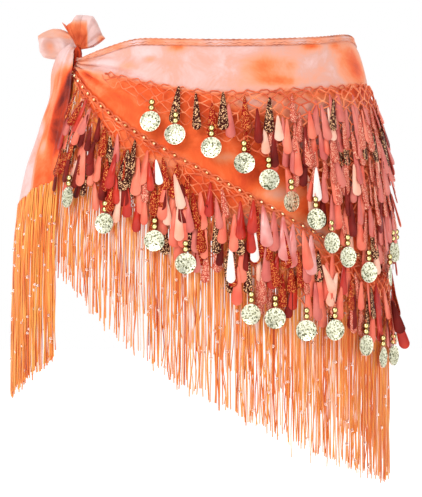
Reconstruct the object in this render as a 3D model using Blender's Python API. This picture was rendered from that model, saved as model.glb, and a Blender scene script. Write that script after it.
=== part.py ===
"""Belly dance hip scarf, worn round the hips and tied at one side.

A chiffon triangle is wrapped round the hips and knotted at the left of the picture. Its long edge is the
waist, and its two short edges drop from the knot to a point at the other hip. Two tiers of netting, coin
drops and a long fringe hang from it.

Sizes are in millimetres and become metres where a mesh is made. +Z is up, the front faces -Y, the knot is
at -X, and the origin is the middle of the waist opening. A drop is a distance below the waist. An angle
runs round the hips in degrees, from 0 at the knot, past the front at 90, to 360 at the knot again.
"""

import math
from collections import namedtuple

import bmesh
import bpy
from mathutils import Vector

MM = 0.001

# Walls and the spaces between them
CLOTH = 1.2
NETTING = 2.0
TRIM = 1.3
GAP = 0.4

# The wrap
POINT_ANGLE = 162.0
END_ANGLE = 5.3
COLUMNS = 80
# Bands of the mesh from the waist to the hem, the net line, the two sides of the braid, and the edge
BANDS = (1, 2, 6, 1, 2)
HEM_ROWS = (0, BANDS[0])
NET_ROW = BANDS[0] + BANDS[1]
BRAID_ROWS = (NET_ROW + BANDS[2], NET_ROW + BANDS[2] + BANDS[3])
EDGE_ROW = sum(BANDS)
HEM_BAND = 6.5
BRAID_BAND = 5.5
FULL_HEIGHT = 60.0
FOLD = 3.0
FOLD_ANGLE = 52.0
FOLD_REACH = 34.0
FOLD_STEEPNESS = 0.4
FLUTE = 3.0
FLUTES_ROUND = (13, 21)
FLUTE_SHARES = (0.2, 0.4)

# How the knot pulls the cloth in from the hips
PULL = 10.0
PULL_REACH = 22.0
PULL_FULL_DROP = 40.0
PULL_END_DROP = 120.0

# The netting tiers: the share of the way round where each starts, and how far it stands out
UPPER_TIER_SHARE = 0.28
LOWER_TIER_SHARE = 0.19
TIER_SWELL_DROP = 20.0
TIER_SWELL = 5.0
UPPER_TIER_OUT = 7.0
LOWER_TIER_OUT = 6.0
TOOTH = 11.0

# The knot, its bow and its tail
KNOT_DROP = 22.0
KNOT_HALF_WIDTH = 7.5
KNOT_HALF_HEIGHT = 10.0
KNOT_SIDES = 12
KNOT_RINGS = 8
TAIL_COLUMNS = 14
TAIL_PLEATS = 3
TAIL_PLEAT_DEPTH = 3.0

# The fringe
FRINGE_LENGTH = 186.0
FRINGE_SHORTER_AT_POINT = 8.0
FRINGE_UNEVEN = 6.0
FRINGE_STRIP = 2.6
FRINGE_DEPTH = 1.7
FRINGE_ROOT = 0.6
FRINGE_TAPER = 0.8
FRONT_STRANDS = 86
BACK_STRANDS = 100
TAIL_STRANDS = 15
FRINGE_START_ANGLE = 10.0
TAIL_FRINGE_DRIFT = 7.0

# The coin drops: a coin below a stem the size of its two beads
COIN_RADIUS = 10.2
COIN_SIDES = 10
COIN_THICKNESS = 1.0
COIN_GAP = 0.25
COIN_LINE_STEPS = 8
RIM_WIDTH = 3.0
BEAD_RADIUS = 2.6
BEAD_STACK = 12.0
BEAD_NECK = 2.0

Section = namedtuple("Section", "drop half_width half_depth")
HIPS = [
    Section(-20, 137, 98),
    Section(0, 140, 100),
    Section(12, 146, 104),
    Section(32, 152, 110),
    Section(52, 156, 114),
    Section(80, 161, 119),
    Section(115, 166, 124),
    Section(160, 171, 128),
    Section(210, 174, 130),
    Section(460, 174, 130),
]

# Drops of the wrap's lines, by the share of the way from the knot to the cloth's point
Line = namedtuple("Line", "share waist net braid edge upper_hem lower_hem")
LINES = [
    Line(0.00, 16, 20, 25, 29, 40, 110),
    Line(0.15, 20, 30, 38, 44, 45, 128),
    Line(0.25, 13.5, 34, 61, 73, 48, 150),
    Line(0.35, 5, 43, 88, 110, 62, 170),
    Line(0.45, 5.5, 52, 114, 145, 88, 193),
    Line(0.55, 6.5, 58, 140, 175, 108, 232),
    Line(0.65, 6, 57, 166, 202, 126, 258),
    Line(0.75, 4, 54, 192, 226, 161, 270),
    Line(0.85, 1, 51, 212, 243, 203, 280),
    Line(0.95, -3, 47, 226, 258, 218, 293),
    Line(1.00, -4, 46, 230, 262, 222, 298),
]

# The tail's rows from the knot down: the drop, angle and standing out of its two side edges
TailRow = namedtuple("TailRow", "inner_drop outer_drop inner_angle outer_angle inner_out outer_out")
TAIL = [
    TailRow(33.6, 33.6, 1.5, -1.5, -3.0, 1),
    TailRow(38, 37, 10, -2, 3.8, 14),
    TailRow(48, 50, 20, -3, 4.3, 17),
    TailRow(62, 68, 26, -3, 4.8, 16),
    TailRow(84, 92, 28, -4, 5.5, 17),
    TailRow(106, 120, 29, -4, 6.0, 19),
    TailRow(126, 145, 29.3, -5, 6.0, 22),
    TailRow(144, 167, 29.5, -5, 6.0, 25),
]

# Each bow piece is a fan of cloth: the way it points, its reach, its spread, half its depth and its lean
Fan = namedtuple("Fan", "name middle reach spread depth lean")
FANS = [
    Fan("bow_loop_left", 154, 45, 62, 9, 3),
    Fan("bow_loop_right", 57, 42, 44, 8, 6),
    Fan("bow_end", 101, 50, 36, 6, -4),
]
FAN_STEPS = 12
FAN_ROWS = 8
FAN_ROUNDING = 0.14
FAN_PLEATS = 2
FAN_PLEAT_DEPTH = 2.2
FAN_ROOT_SPACE = 2.0

# The front coins: which tier carries each, its angle, the drop of its middle and how far it is turned
Coin = namedtuple("Coin", "tier angle drop turn")
FRONT_COINS = [
    Coin("upper", 68.5, 87, 0),
    Coin("upper", 77.0, 100, 0),
    Coin("upper", 88.8, 113, 14),
    Coin("upper", 99.2, 128, 8),
    Coin("upper", 107.0, 144, 0),
    Coin("upper", 114.3, 165, 66),
    Coin("upper", 122.6, 182, 0),
    Coin("upper", 128.2, 205, -10),
    Coin("upper", 134.9, 219, 0),
    Coin("upper", 145.2, 234, 12),
    Coin("upper", 160.5, 238, -14),
    Coin("upper", 166.5, 214, 14),
    Coin("lower", 36.5, 160, 12),
    Coin("lower", 53.6, 186, 0),
    Coin("lower", 71.2, 203, 0),
    Coin("lower", 81.0, 225, -10),
    Coin("lower", 101.0, 274, 36),
    Coin("lower", 108.5, 278, 14),
    Coin("lower", 119.0, 290, 35),
    Coin("lower", 129.6, 290, 5),
    Coin("lower", 144.0, 306, 0),
    Coin("lower", 155.0, 319, -8),
    Coin("lower", 166.0, 318, 14),
]
BACK_COINS = 8
BACK_FIRST_SHARE = 0.42
BACK_LAST_SHARE = 0.92
BACK_TURNS = (0, 13, -9, 5)
# How far a back coin's middle is below its tier's hem
BACK_COINS_BELOW = {"upper_hem": -2, "lower_hem": 6}


def read(rows, key, column, position):
    """One column of a table at a position, on a smooth curve through its rows."""
    keys = [getattr(row, key) for row in rows]
    values = [getattr(row, column) for row in rows]
    if position <= keys[0]:
        return values[0]
    if position >= keys[-1]:
        return values[-1]
    at = next(n for n in range(len(keys) - 1) if position <= keys[n + 1])

    def slope(n):
        low, high = max(n - 1, 0), min(n + 1, len(keys) - 1)
        return (values[high] - values[low]) / (keys[high] - keys[low])

    span = keys[at + 1] - keys[at]
    s = (position - keys[at]) / span
    first = values[at] * (1 + 2 * s) * (1 - s) ** 2 + slope(at) * span * s * (1 - s) ** 2
    second = values[at + 1] * s * s * (3 - 2 * s) + slope(at + 1) * span * s * s * (s - 1)
    return first + second


def ease(value, low, high):
    """0 below low, 1 above high, and a smooth step between them."""
    s = max(0.0, min(1.0, (value - low) / (high - low)))
    return s * s * (3 - 2 * s)


def from_knot(angle):
    """How many degrees an angle is from the knot, either way round."""
    turned = angle % 360
    return min(turned, 360 - turned)


def share_of(angle):
    """How far round an angle is from the knot to the cloth's point, by its own side."""
    if angle <= POINT_ANGLE:
        return max(0.0, angle / POINT_ANGLE)
    return (360 - angle) / (360 - POINT_ANGLE)


def line(column, angle):
    return read(LINES, "share", column, share_of(angle))


def frame_at(angle, drop):
    """The point on the hips at an angle and drop, and the level direction out of them."""
    pull = PULL * math.exp(-((from_knot(angle) / PULL_REACH) ** 2))
    pull *= 1 - ease(drop, PULL_FULL_DROP, PULL_END_DROP)
    half_width = read(HIPS, "drop", "half_width", drop) - pull
    half_depth = read(HIPS, "drop", "half_depth", drop)
    turn = math.radians(angle)
    point = Vector((-half_width * math.cos(turn), -half_depth * math.sin(turn), -drop))
    outward = Vector((-math.cos(turn) / half_width, -math.sin(turn) / half_depth, 0)).normalized()
    return point, outward


def place(angle, drop, out=0.0):
    point, outward = frame_at(angle, drop)
    return point + outward * out


def wrap_levels(angle):
    """The drop of each row of the wrap at an angle, with the rows that the trims and tiers lie on."""
    waist, net, braid, edge = (line(name, angle) for name in ("waist", "net", "braid", "edge"))
    narrowing = min(1.0, (edge - waist) / FULL_HEIGHT)
    half_braid = BRAID_BAND / 2 * narrowing
    guides = [waist, waist + HEM_BAND * narrowing, net, braid - half_braid, braid + half_braid, edge]
    levels = []
    for upper, lower, bands in zip(guides, guides[1:], BANDS):
        levels += [upper + (lower - upper) * n / bands for n in range(bands)]
    return levels + [edge]


def fold_out(angle, row, levels):
    """How far a row of the wrap stands out: creases that run to the knot, and soft flutes at the edge."""
    if NET_ROW < row < BRAID_ROWS[0]:
        strength = FOLD * math.exp(-(((from_knot(angle) - FOLD_ANGLE) / FOLD_REACH) ** 2))
        most = FOLD_STEEPNESS * (levels[row + 1] - levels[row])
        return min(strength, most) if (row - NET_ROW) % 2 else 0.0
    if row > BRAID_ROWS[1]:
        turn = math.radians(angle)
        broad, narrow = (math.cos(count * turn) for count in FLUTES_ROUND)
        wave = 0.5 + 0.3 * broad + 0.2 * narrow
        depth = (row - BRAID_ROWS[1]) / (EDGE_ROW - BRAID_ROWS[1])
        return FLUTE * wave * depth * ease(share_of(angle), *FLUTE_SHARES)
    return 0.0


def wrap_angles():
    step = (360 - 2 * END_ANGLE) / COLUMNS
    return [END_ANGLE + n * step for n in range(COLUMNS + 1)]


def finish(name, colour, roughness, metallic=0.0):
    material = bpy.data.materials.new(name)
    material.use_nodes = True
    shader = material.node_tree.nodes["Principled BSDF"]
    shader.inputs["Base Color"].default_value = (*colour, 1)
    shader.inputs["Roughness"].default_value = roughness
    shader.inputs["Metallic"].default_value = metallic
    return material


def add_object(name, bm, material):
    bmesh.ops.recalc_face_normals(bm, faces=bm.faces)
    bmesh.ops.scale(bm, vec=(MM, MM, MM), verts=bm.verts)
    mesh = bpy.data.meshes.new(name)
    bm.to_mesh(mesh)
    bm.free()
    mesh.shade_smooth()
    mesh.set_sharp_from_angle(angle=math.radians(50))
    mesh.materials.append(material)
    bpy.context.scene.collection.objects.link(bpy.data.objects.new(name, mesh))


def wall(name, inner, outer, material):
    """A closed wall between two sheets of points, each a list of rows."""
    bm = bmesh.new()
    inside = [[bm.verts.new(point) for point in row] for row in inner]
    outside = [[bm.verts.new(point) for point in row] for row in outer]
    last_row, last_column = len(inner) - 1, len(inner[0]) - 1
    for sheet in (inside, outside):
        for r in range(last_row):
            for c in range(last_column):
                bm.faces.new((sheet[r][c], sheet[r][c + 1], sheet[r + 1][c + 1], sheet[r + 1][c]))
    for r in (0, last_row):
        for c in range(last_column):
            bm.faces.new((inside[r][c], inside[r][c + 1], outside[r][c + 1], outside[r][c]))
    for c in (0, last_column):
        for r in range(last_row):
            bm.faces.new((inside[r][c], inside[r + 1][c], outside[r + 1][c], outside[r][c]))
    add_object(name, bm, material)


def moved_out(sheet, distance):
    """A sheet of points moved along its own normals."""
    last_row, last_column = len(sheet) - 1, len(sheet[0]) - 1

    def moved(r, c):
        along = sheet[r][min(c + 1, last_column)] - sheet[r][max(c - 1, 0)]
        down = sheet[min(r + 1, last_row)][c] - sheet[max(r - 1, 0)][c]
        return sheet[r][c] + along.cross(down).normalized() * distance

    return [[moved(r, c) for c in range(last_column + 1)] for r in range(last_row + 1)]


def wrap_row(row, out):
    """One row of the wrap's points, moved out from its inner face."""
    points = []
    for angle in wrap_angles():
        levels = wrap_levels(angle)
        points.append(place(angle, levels[row], fold_out(angle, row, levels) + out))
    return points


def make_wrap(material):
    rows = range(EDGE_ROW + 1)
    wall("wrap_cloth", [wrap_row(r, 0) for r in rows], [wrap_row(r, CLOTH) for r in rows], material)


def make_trim(name, rows, material):
    """A flat trim that lies on two rows of the wrap."""
    low = CLOTH + GAP
    wall(name, [wrap_row(r, low) for r in rows], [wrap_row(r, low + TRIM) for r in rows], material)


def tier_angles(first_share):
    return [angle for angle in wrap_angles() if share_of(angle) >= first_share]


def tier_rows(kind, angle, column):
    """The drops and standings out of a tier's four rows. Every other column has a pointed drop."""
    levels = wrap_levels(angle)
    if kind == "upper":
        top = levels[NET_ROW]
        hem, out = line("upper_hem", angle), UPPER_TIER_OUT
    else:
        top = levels[BRAID_ROWS[1]] + GAP
        hem, out = line("lower_hem", angle), LOWER_TIER_OUT
    swell = min(TIER_SWELL_DROP, (hem - top) / 3)
    hem += TOOTH * (column % 2)
    seam_out = CLOTH + GAP
    middle = (TIER_SWELL + out) / 2
    return [(top, seam_out), (top + swell, TIER_SWELL), ((top + swell + hem) / 2, middle), (hem, out)]


def make_tier(name, kind, first_share, material):
    angles = tier_angles(first_share)
    columns = [tier_rows(kind, angle, n) for n, angle in enumerate(angles)]
    inner = [[place(a, *rows[r]) for a, rows in zip(angles, columns)] for r in range(4)]
    outer = [
        [place(a, rows[r][0], rows[r][1] + NETTING) for a, rows in zip(angles, columns)] for r in range(4)
    ]
    wall(name, inner, outer, material)


def knot_middle():
    return place(0, KNOT_DROP)


def make_knot(material):
    half_depth = abs(place(END_ANGLE, KNOT_DROP).y) - GAP
    bm = bmesh.new()
    bmesh.ops.create_uvsphere(bm, u_segments=KNOT_SIDES, v_segments=KNOT_RINGS, radius=1)
    bmesh.ops.scale(bm, vec=(KNOT_HALF_WIDTH, half_depth, KNOT_HALF_HEIGHT), verts=bm.verts)
    bmesh.ops.translate(bm, vec=knot_middle(), verts=bm.verts)
    add_object("knot", bm, material)


def knot_radius(turn):
    """How far the knot reaches from its middle in one direction, seen from the side that it closes."""
    return 1 / math.hypot(math.cos(turn) / KNOT_HALF_WIDTH, math.sin(turn) / KNOT_HALF_HEIGHT)


def fan_point(fan, step, row):
    """A point of a bow piece, which runs out from the knot, turns and comes back behind itself."""
    s = step / FAN_STEPS
    across = row / FAN_ROWS
    turn = math.radians(fan.middle + fan.spread * (0.5 - across))
    start = knot_radius(turn) + GAP
    reach = fan.reach * (1 - FAN_ROUNDING * (2 * across - 1) ** 2)
    open_share = math.sin(math.pi * s) ** 0.75
    radius = start + (reach - start) * open_share
    pleat = FAN_PLEAT_DEPTH * math.cos(2 * math.pi * FAN_PLEATS * across)
    depth = -fan.depth * math.sin(2 * math.pi * s) - FAN_ROOT_SPACE * math.cos(math.pi * s)
    depth += (pleat + fan.lean) * open_share
    return knot_middle() + Vector((math.cos(turn) * radius, depth, math.sin(turn) * radius))


def make_fans(material):
    for fan in FANS:
        steps = range(FAN_STEPS + 1)
        sheet = [[fan_point(fan, step, row) for step in steps] for row in range(FAN_ROWS + 1)]
        wall(fan.name, sheet, moved_out(sheet, CLOTH), material)


def tail_place(row, across, out=0.0, extra_drop=0.0):
    """A point of the tail: across is 0 at the edge towards the front and 1 at the outer edge."""
    drop = row.inner_drop + (row.outer_drop - row.inner_drop) * across + extra_drop
    angle = row.inner_angle + (row.outer_angle - row.inner_angle) * across
    width = ease(row.inner_drop, TAIL[0].inner_drop, TAIL[4].inner_drop)
    pleat = TAIL_PLEAT_DEPTH * width * (0.5 - 0.5 * math.cos(2 * math.pi * TAIL_PLEATS * across))
    stand = row.inner_out + (row.outer_out - row.inner_out) * across**1.5
    return place(angle, drop, stand + pleat + out)


def make_tail(material):
    sheet = [[tail_place(row, n / TAIL_COLUMNS) for n in range(TAIL_COLUMNS + 1)] for row in TAIL]
    wall("tail_cloth", sheet, moved_out(sheet, CLOTH), material)


def make_fringe(name, strands, root, tip, material):
    """A narrow strip with strands below it. root and tip give a point for a place along the strip, a drop
    below its top and a depth through it."""
    bm = bmesh.new()
    places = [(n + side * FRINGE_ROOT) / strands for n in range(strands) for side in (0, 1)]
    corners = ((0, 0), (0, 1), (1, 1), (1, 0))
    columns = [
        [bm.verts.new(root(along, down * FRINGE_STRIP, deep * FRINGE_DEPTH)) for down, deep in corners]
        for along in places
    ]
    bm.faces.new(columns[0])
    bm.faces.new(columns[-1])
    for n, (here, there) in enumerate(zip(columns, columns[1:])):
        for a, b in ((0, 1), (1, 2), (3, 0)):
            bm.faces.new((here[a], here[b], there[b], there[a]))
        if n % 2:
            bm.faces.new((here[2], here[3], there[3], there[2]))
            continue
        strand = n // 2
        middle = (places[n] + places[n + 1]) / 2
        half = (places[n + 1] - places[n]) / 2 * FRINGE_TAPER
        length = FRINGE_LENGTH + FRINGE_UNEVEN * math.sin(2.4 * strand) * math.cos(0.9 * strand)
        ends = [
            bm.verts.new(tip(middle + side * half, length, deep * FRINGE_DEPTH * FRINGE_TAPER))
            for side, deep in ((-1, 0), (-1, 1), (1, 1), (1, 0))
        ]
        roots = [here[3], here[2], there[2], there[3]]
        for a in range(4):
            b = (a + 1) % 4
            bm.faces.new((roots[a], roots[b], ends[b], ends[a]))
        bm.faces.new(ends)
    add_object(name, bm, material)


def edge_out(angle):
    return fold_out(angle, EDGE_ROW, wrap_levels(angle))


def make_edge_fringe(name, first, last, strands, material):
    """The fringe below one short edge of the triangle."""

    def angle_at(along):
        return first + (last - first) * along

    def root(along, down, deep):
        angle = angle_at(along)
        return place(angle, line("edge", angle) + GAP + down, edge_out(angle) + deep)

    def tip(along, length, deep):
        angle = angle_at(along)
        hang = length - FRINGE_SHORTER_AT_POINT * share_of(angle)
        return place(angle, line("edge", angle) + hang, edge_out(angle) + deep)

    make_fringe(name, strands, root, tip, material)


def make_tail_fringe(material):
    def root(along, down, deep):
        return tail_place(TAIL[-1], along, deep - (FRINGE_DEPTH - CLOTH) / 2, GAP + down)

    def tip(along, length, deep):
        return tail_place(TAIL[-1], along, deep + TAIL_FRINGE_DRIFT, length)

    make_fringe("fringe_tail", TAIL_STRANDS, root, tip, material)


def coin_rim():
    """The coin's rim as (across, up) from its middle. It starts and ends at the two sides of the stem."""
    half_gap = math.asin(RIM_WIDTH / 2 / COIN_RADIUS)
    first = math.pi / 2 - half_gap
    step = (2 * math.pi - 2 * half_gap) / COIN_SIDES
    turns = [first - n * step for n in range(COIN_SIDES + 1)]
    return [(COIN_RADIUS * math.cos(turn), COIN_RADIUS * math.sin(turn)) for turn in turns]


def tier_face(kind, angle, drop):
    """The point of a tier's outer face at a drop, or in front of its hem where it ends above."""
    rows = tier_rows(kind, angle, 0)
    for (upper, upper_out), (lower, lower_out) in zip(rows, rows[1:]):
        if drop <= lower:
            above = place(angle, upper, upper_out + NETTING)
            below = place(angle, lower, lower_out + NETTING)
            return above.lerp(below, max(0.0, (drop - upper) / (lower - upper)))
    return place(angle, drop, rows[-1][1] + NETTING)


def coin_line(coin):
    """The straight line that a coin drop hangs along, from its top to its bottom, and the way out of its
    tier. The line clears the tier's face by half a bead and the gap all along."""
    top = coin.drop - COIN_RADIUS - BEAD_STACK
    step = (2 * COIN_RADIUS + BEAD_STACK) / COIN_LINE_STEPS
    drops = [top + n * step for n in range(COIN_LINE_STEPS + 1)]
    points = [tier_face(coin.tier, coin.angle, drop) for drop in drops]
    outward = frame_at(coin.angle, coin.drop)[1]
    chord = [points[0].lerp(points[-1], n / COIN_LINE_STEPS) for n in range(COIN_LINE_STEPS + 1)]
    bulge = max((point - level).dot(outward) for point, level in zip(points, chord))
    shift = outward * (bulge + BEAD_RADIUS + COIN_GAP)
    return points[0] + shift, points[-1] + shift, outward


def make_coin(name, coin, material):
    """One coin drop. Its stem lies against its tier, and the coin is turned about the stem. A coin that
    isn't all below its tier's points is turned so little that it stays in front of them."""
    turn = math.radians(coin.turn)
    top, bottom, outward = coin_line(coin)
    up = (top - bottom).normalized()
    middle = bottom + up * COIN_RADIUS
    level = up.cross(outward).normalized()
    face = level.cross(up)
    across = level * math.cos(turn) + face * math.sin(turn)
    normal = across.cross(up)
    half = COIN_THICKNESS / 2

    bm = bmesh.new()
    front, back = (
        [bm.verts.new(middle + across * x + up * y + normal * deep) for x, y in coin_rim()]
        for deep in (half, -half)
    )
    bm.faces.new(front)
    bm.faces.new(back)
    for n in range(COIN_SIDES):
        bm.faces.new((front[n], front[n + 1], back[n + 1], back[n]))
    ring = [front[-1], front[0], back[0], back[-1]]
    corners = ((-1, 1), (1, 1), (1, -1), (-1, -1))
    for rise, radius in (
        (BEAD_NECK, BEAD_RADIUS),
        (BEAD_STACK - BEAD_NECK, BEAD_RADIUS),
        (BEAD_STACK, BEAD_NECK / 2),
    ):
        height = COIN_RADIUS + rise
        higher = [
            bm.verts.new(middle + (level * x + face * y) * radius + up * height) for x, y in corners
        ]
        for n in range(4):
            m = (n + 1) % 4
            bm.faces.new((ring[n], ring[m], higher[m], higher[n]))
        ring = higher
    bm.faces.new(ring)
    add_object(name, bm, material)


def back_coins():
    """Coins on the hidden side, evenly spaced along the lower edge of each tier."""
    coins = []
    for tier, column in (("upper", "upper_hem"), ("lower", "lower_hem")):
        for n in range(BACK_COINS):
            share = BACK_FIRST_SHARE + (BACK_LAST_SHARE - BACK_FIRST_SHARE) * n / (BACK_COINS - 1)
            angle = 360 - share * (360 - POINT_ANGLE)
            turn = BACK_TURNS[n % len(BACK_TURNS)]
            coins.append(Coin(tier, angle, line(column, angle) + BACK_COINS_BELOW[column], turn))
    return coins


def make_coins(material):
    for side, coins in (("front", FRONT_COINS), ("back", back_coins())):
        for n, coin in enumerate(coins, 1):
            make_coin(f"coin_{side}_{n:02d}", coin, material)


def main():
    for left in list(bpy.data.objects):
        bpy.data.objects.remove(left)
    chiffon = finish("chiffon", (0.93, 0.36, 0.14), 0.6)
    crochet = finish("crochet_trim", (0.90, 0.30, 0.12), 0.7)
    netting = finish("sequined_net", (0.76, 0.17, 0.12), 0.4)
    yarn = finish("fringe_yarn", (0.95, 0.42, 0.10), 0.5)
    gold = finish("coin_gold", (0.85, 0.72, 0.36), 0.25, 1.0)
    make_wrap(chiffon)
    make_trim("waist_trim", HEM_ROWS, crochet)
    make_trim("bead_braid", BRAID_ROWS, crochet)
    make_tier("net_upper", "upper", UPPER_TIER_SHARE, netting)
    make_tier("net_lower", "lower", LOWER_TIER_SHARE, netting)
    make_knot(chiffon)
    make_fans(chiffon)
    make_tail(chiffon)
    last = 360 - FRINGE_START_ANGLE
    make_edge_fringe("fringe_front", FRINGE_START_ANGLE, POINT_ANGLE, FRONT_STRANDS, yarn)
    make_edge_fringe("fringe_back", POINT_ANGLE + 1, last, BACK_STRANDS, yarn)
    make_tail_fringe(yarn)
    make_coins(gold)


main()
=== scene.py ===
# %% [markdown]
# # A belly dance hip scarf
#
# The scarf is a triangle of tie-dyed chiffon, tied at one hip. Two tiers of crocheted net hang from
# it with teardrop sequins and coins, and a long fringe hangs from its two short edges. The packed
# solids give every size and place. This lesson dresses them: first the shared measurements, then
# the finishes, then one piece after another from the waist down to the fringe.

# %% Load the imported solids
import math
from collections import namedtuple

import bmesh
import bpy
import numpy as np
from mathutils import Matrix, Vector


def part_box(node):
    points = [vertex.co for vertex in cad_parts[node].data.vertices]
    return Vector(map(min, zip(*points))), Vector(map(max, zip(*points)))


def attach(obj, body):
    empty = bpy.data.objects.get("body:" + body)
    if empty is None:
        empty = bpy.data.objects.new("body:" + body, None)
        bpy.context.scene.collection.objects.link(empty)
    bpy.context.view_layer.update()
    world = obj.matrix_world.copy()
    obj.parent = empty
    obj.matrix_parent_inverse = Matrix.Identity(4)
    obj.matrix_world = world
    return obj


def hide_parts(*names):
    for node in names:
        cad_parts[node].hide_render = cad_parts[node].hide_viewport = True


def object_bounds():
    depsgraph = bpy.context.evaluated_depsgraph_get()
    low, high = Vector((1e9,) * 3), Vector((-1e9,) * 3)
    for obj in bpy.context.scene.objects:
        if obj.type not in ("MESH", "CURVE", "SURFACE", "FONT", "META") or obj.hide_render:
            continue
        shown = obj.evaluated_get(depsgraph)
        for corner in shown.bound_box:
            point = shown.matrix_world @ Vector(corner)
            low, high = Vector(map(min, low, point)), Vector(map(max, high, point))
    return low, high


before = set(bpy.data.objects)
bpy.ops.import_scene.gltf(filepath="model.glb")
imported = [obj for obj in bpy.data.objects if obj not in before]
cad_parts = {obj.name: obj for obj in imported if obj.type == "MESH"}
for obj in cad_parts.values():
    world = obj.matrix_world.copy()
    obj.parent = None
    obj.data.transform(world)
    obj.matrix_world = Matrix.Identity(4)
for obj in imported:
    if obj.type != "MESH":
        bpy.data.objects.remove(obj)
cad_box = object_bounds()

print("solids:", len(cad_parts), "box:", [[round(n, 3) for n in corner] for corner in cad_box])

# %% [markdown]
# ## Measurements
#
# The solids were worked out in millimetres from a few tables: the hips' sections, and the drops of
# the waist, the net line, the beaded braid, the edge and the two hems. The same tables here let a
# piece be draped on the hips by an angle round them, a drop below the waist and a distance out from
# the cloth. An angle is 0 at the knot, 90 at the front and 180 opposite the knot.

# %% The hips and the lines on them, in millimetres and degrees
MM = 0.001
POINT_ANGLE = 162.0
END_ANGLE = 5.3
PULL, PULL_REACH, PULL_DROPS = 10.0, 22.0, (40.0, 120.0)


def table(fields, *rows):
    """Rows of a small table whose columns have names."""
    kind = namedtuple("Row", fields)
    return [kind(*row) for row in rows]


HIPS = table(
    "drop half_width half_depth",
    (-20, 137, 98),
    (0, 140, 100),
    (12, 146, 104),
    (32, 152, 110),
    (52, 156, 114),
    (80, 161, 119),
    (115, 166, 124),
    (160, 171, 128),
    (210, 174, 130),
    (460, 174, 130),
)

LINES = table(
    "share waist net braid edge upper_hem lower_hem",
    (0.00, 16, 20, 25, 29, 40, 110),
    (0.15, 20, 30, 38, 44, 45, 128),
    (0.25, 13.5, 34, 61, 73, 48, 150),
    (0.35, 5, 43, 88, 110, 62, 170),
    (0.45, 5.5, 52, 114, 145, 88, 193),
    (0.55, 6.5, 58, 140, 175, 108, 232),
    (0.65, 6, 57, 166, 202, 126, 258),
    (0.75, 4, 54, 192, 226, 161, 270),
    (0.85, 1, 51, 212, 243, 203, 280),
    (0.95, -3, 47, 226, 258, 218, 293),
    (1.00, -4, 46, 230, 262, 222, 298),
)


def read(rows, key, column, at):
    """One column of a table at many positions, on a smooth curve through its rows."""
    keys = np.array([getattr(row, key) for row in rows], float)
    values = np.array([getattr(row, column) for row in rows], float)
    low = np.maximum(np.arange(len(keys)) - 1, 0)
    high = np.minimum(np.arange(len(keys)) + 1, len(keys) - 1)
    slopes = (values[high] - values[low]) / (keys[high] - keys[low])
    at = np.clip(np.asarray(at, float), keys[0], keys[-1])
    n = np.clip(np.searchsorted(keys, at, side="right") - 1, 0, len(keys) - 2)
    span = keys[n + 1] - keys[n]
    s = (at - keys[n]) / span
    first = values[n] * (1 + 2 * s) * (1 - s) ** 2 + slopes[n] * span * s * (1 - s) ** 2
    return first + values[n + 1] * s * s * (3 - 2 * s) + slopes[n + 1] * span * s * s * (s - 1)


def ease(value, low, high):
    s = np.clip((np.asarray(value, float) - low) / (high - low), 0, 1)
    return s * s * (3 - 2 * s)


def from_knot(angle):
    turned = np.mod(angle, 360)
    return np.minimum(turned, 360 - turned)


def share_of(angle):
    """How far round an angle is from the knot, 0, to the cloth's point, 1, by its own side."""
    angle = np.asarray(angle, float)
    share = np.where(angle <= POINT_ANGLE, angle / POINT_ANGLE, (360 - angle) / (360 - POINT_ANGLE))
    return np.clip(share, 0, 1)


def line(column, angle):
    return read(LINES, "share", column, share_of(angle))


def hips(angle, drop, out=0.0):
    """Points in metres at angles and drops, at a distance out from the cloth's inner side."""
    pull = PULL * np.exp(-((from_knot(angle) / PULL_REACH) ** 2)) * (1 - ease(drop, *PULL_DROPS))
    wide = read(HIPS, "drop", "half_width", drop) - pull
    deep = read(HIPS, "drop", "half_depth", drop)
    cosine, sine = np.cos(np.radians(angle)), np.sin(np.radians(angle))
    outward = np.stack([-cosine / wide, -sine / deep, np.zeros_like(wide)], -1)
    outward /= np.linalg.norm(outward, axis=-1, keepdims=True)
    place = np.stack([-wide * cosine, -deep * sine, -np.asarray(drop, float) + 0 * wide], -1)
    return (place + outward * np.asarray(out, float)[..., None]) * MM


def run_along(points):
    """How far along a path each of its points lies, in metres."""
    return np.r_[0, np.cumsum(np.linalg.norm(np.diff(points, axis=0), axis=1))]


once_round = np.arange(361.0)
print("waist round:", round(float(run_along(hips(once_round, 0 * once_round))[-1]), 3), "m")

# %% [markdown]
# ## Camera, light and floor
#
# The photograph looks straight at the front from mid height with a long lens, so one pixel is one
# millimetre at the near side of the hips. A white world with two large lamps gives the shadowless
# look of a cut-out, with enough direction left for the sequins and coins to glint.


# %% Helpers for objects
def link(name, data):
    """A new object in the scene that shows some data."""
    item = bpy.data.objects.new(name, data)
    bpy.context.scene.collection.objects.link(item)
    return item


def from_shape(name, shape):
    """An object made from a bmesh, which is then freed."""
    mesh = bpy.data.meshes.new(name)
    shape.to_mesh(mesh)
    shape.free()
    return link(name, mesh)


# %% Camera
PHOTO_HEIGHT = 0.497
CAMERA_DISTANCE = 2.5
HIPS_NEAR = 0.05
CAMERA_X, CAMERA_Z = -0.004, -0.2105

camera = link("camera", bpy.data.cameras.new("camera"))
camera.data.sensor_width = 36
camera.data.lens = 36 * (CAMERA_DISTANCE - HIPS_NEAR) / PHOTO_HEIGHT
camera.location = (CAMERA_X, -CAMERA_DISTANCE, CAMERA_Z)
camera.rotation_euler = (math.radians(90), 0, 0)
bpy.context.scene.camera = camera
bpy.context.scene.view_settings.view_transform = "Standard"
print("lens:", round(camera.data.lens, 1), "mm")


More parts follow.
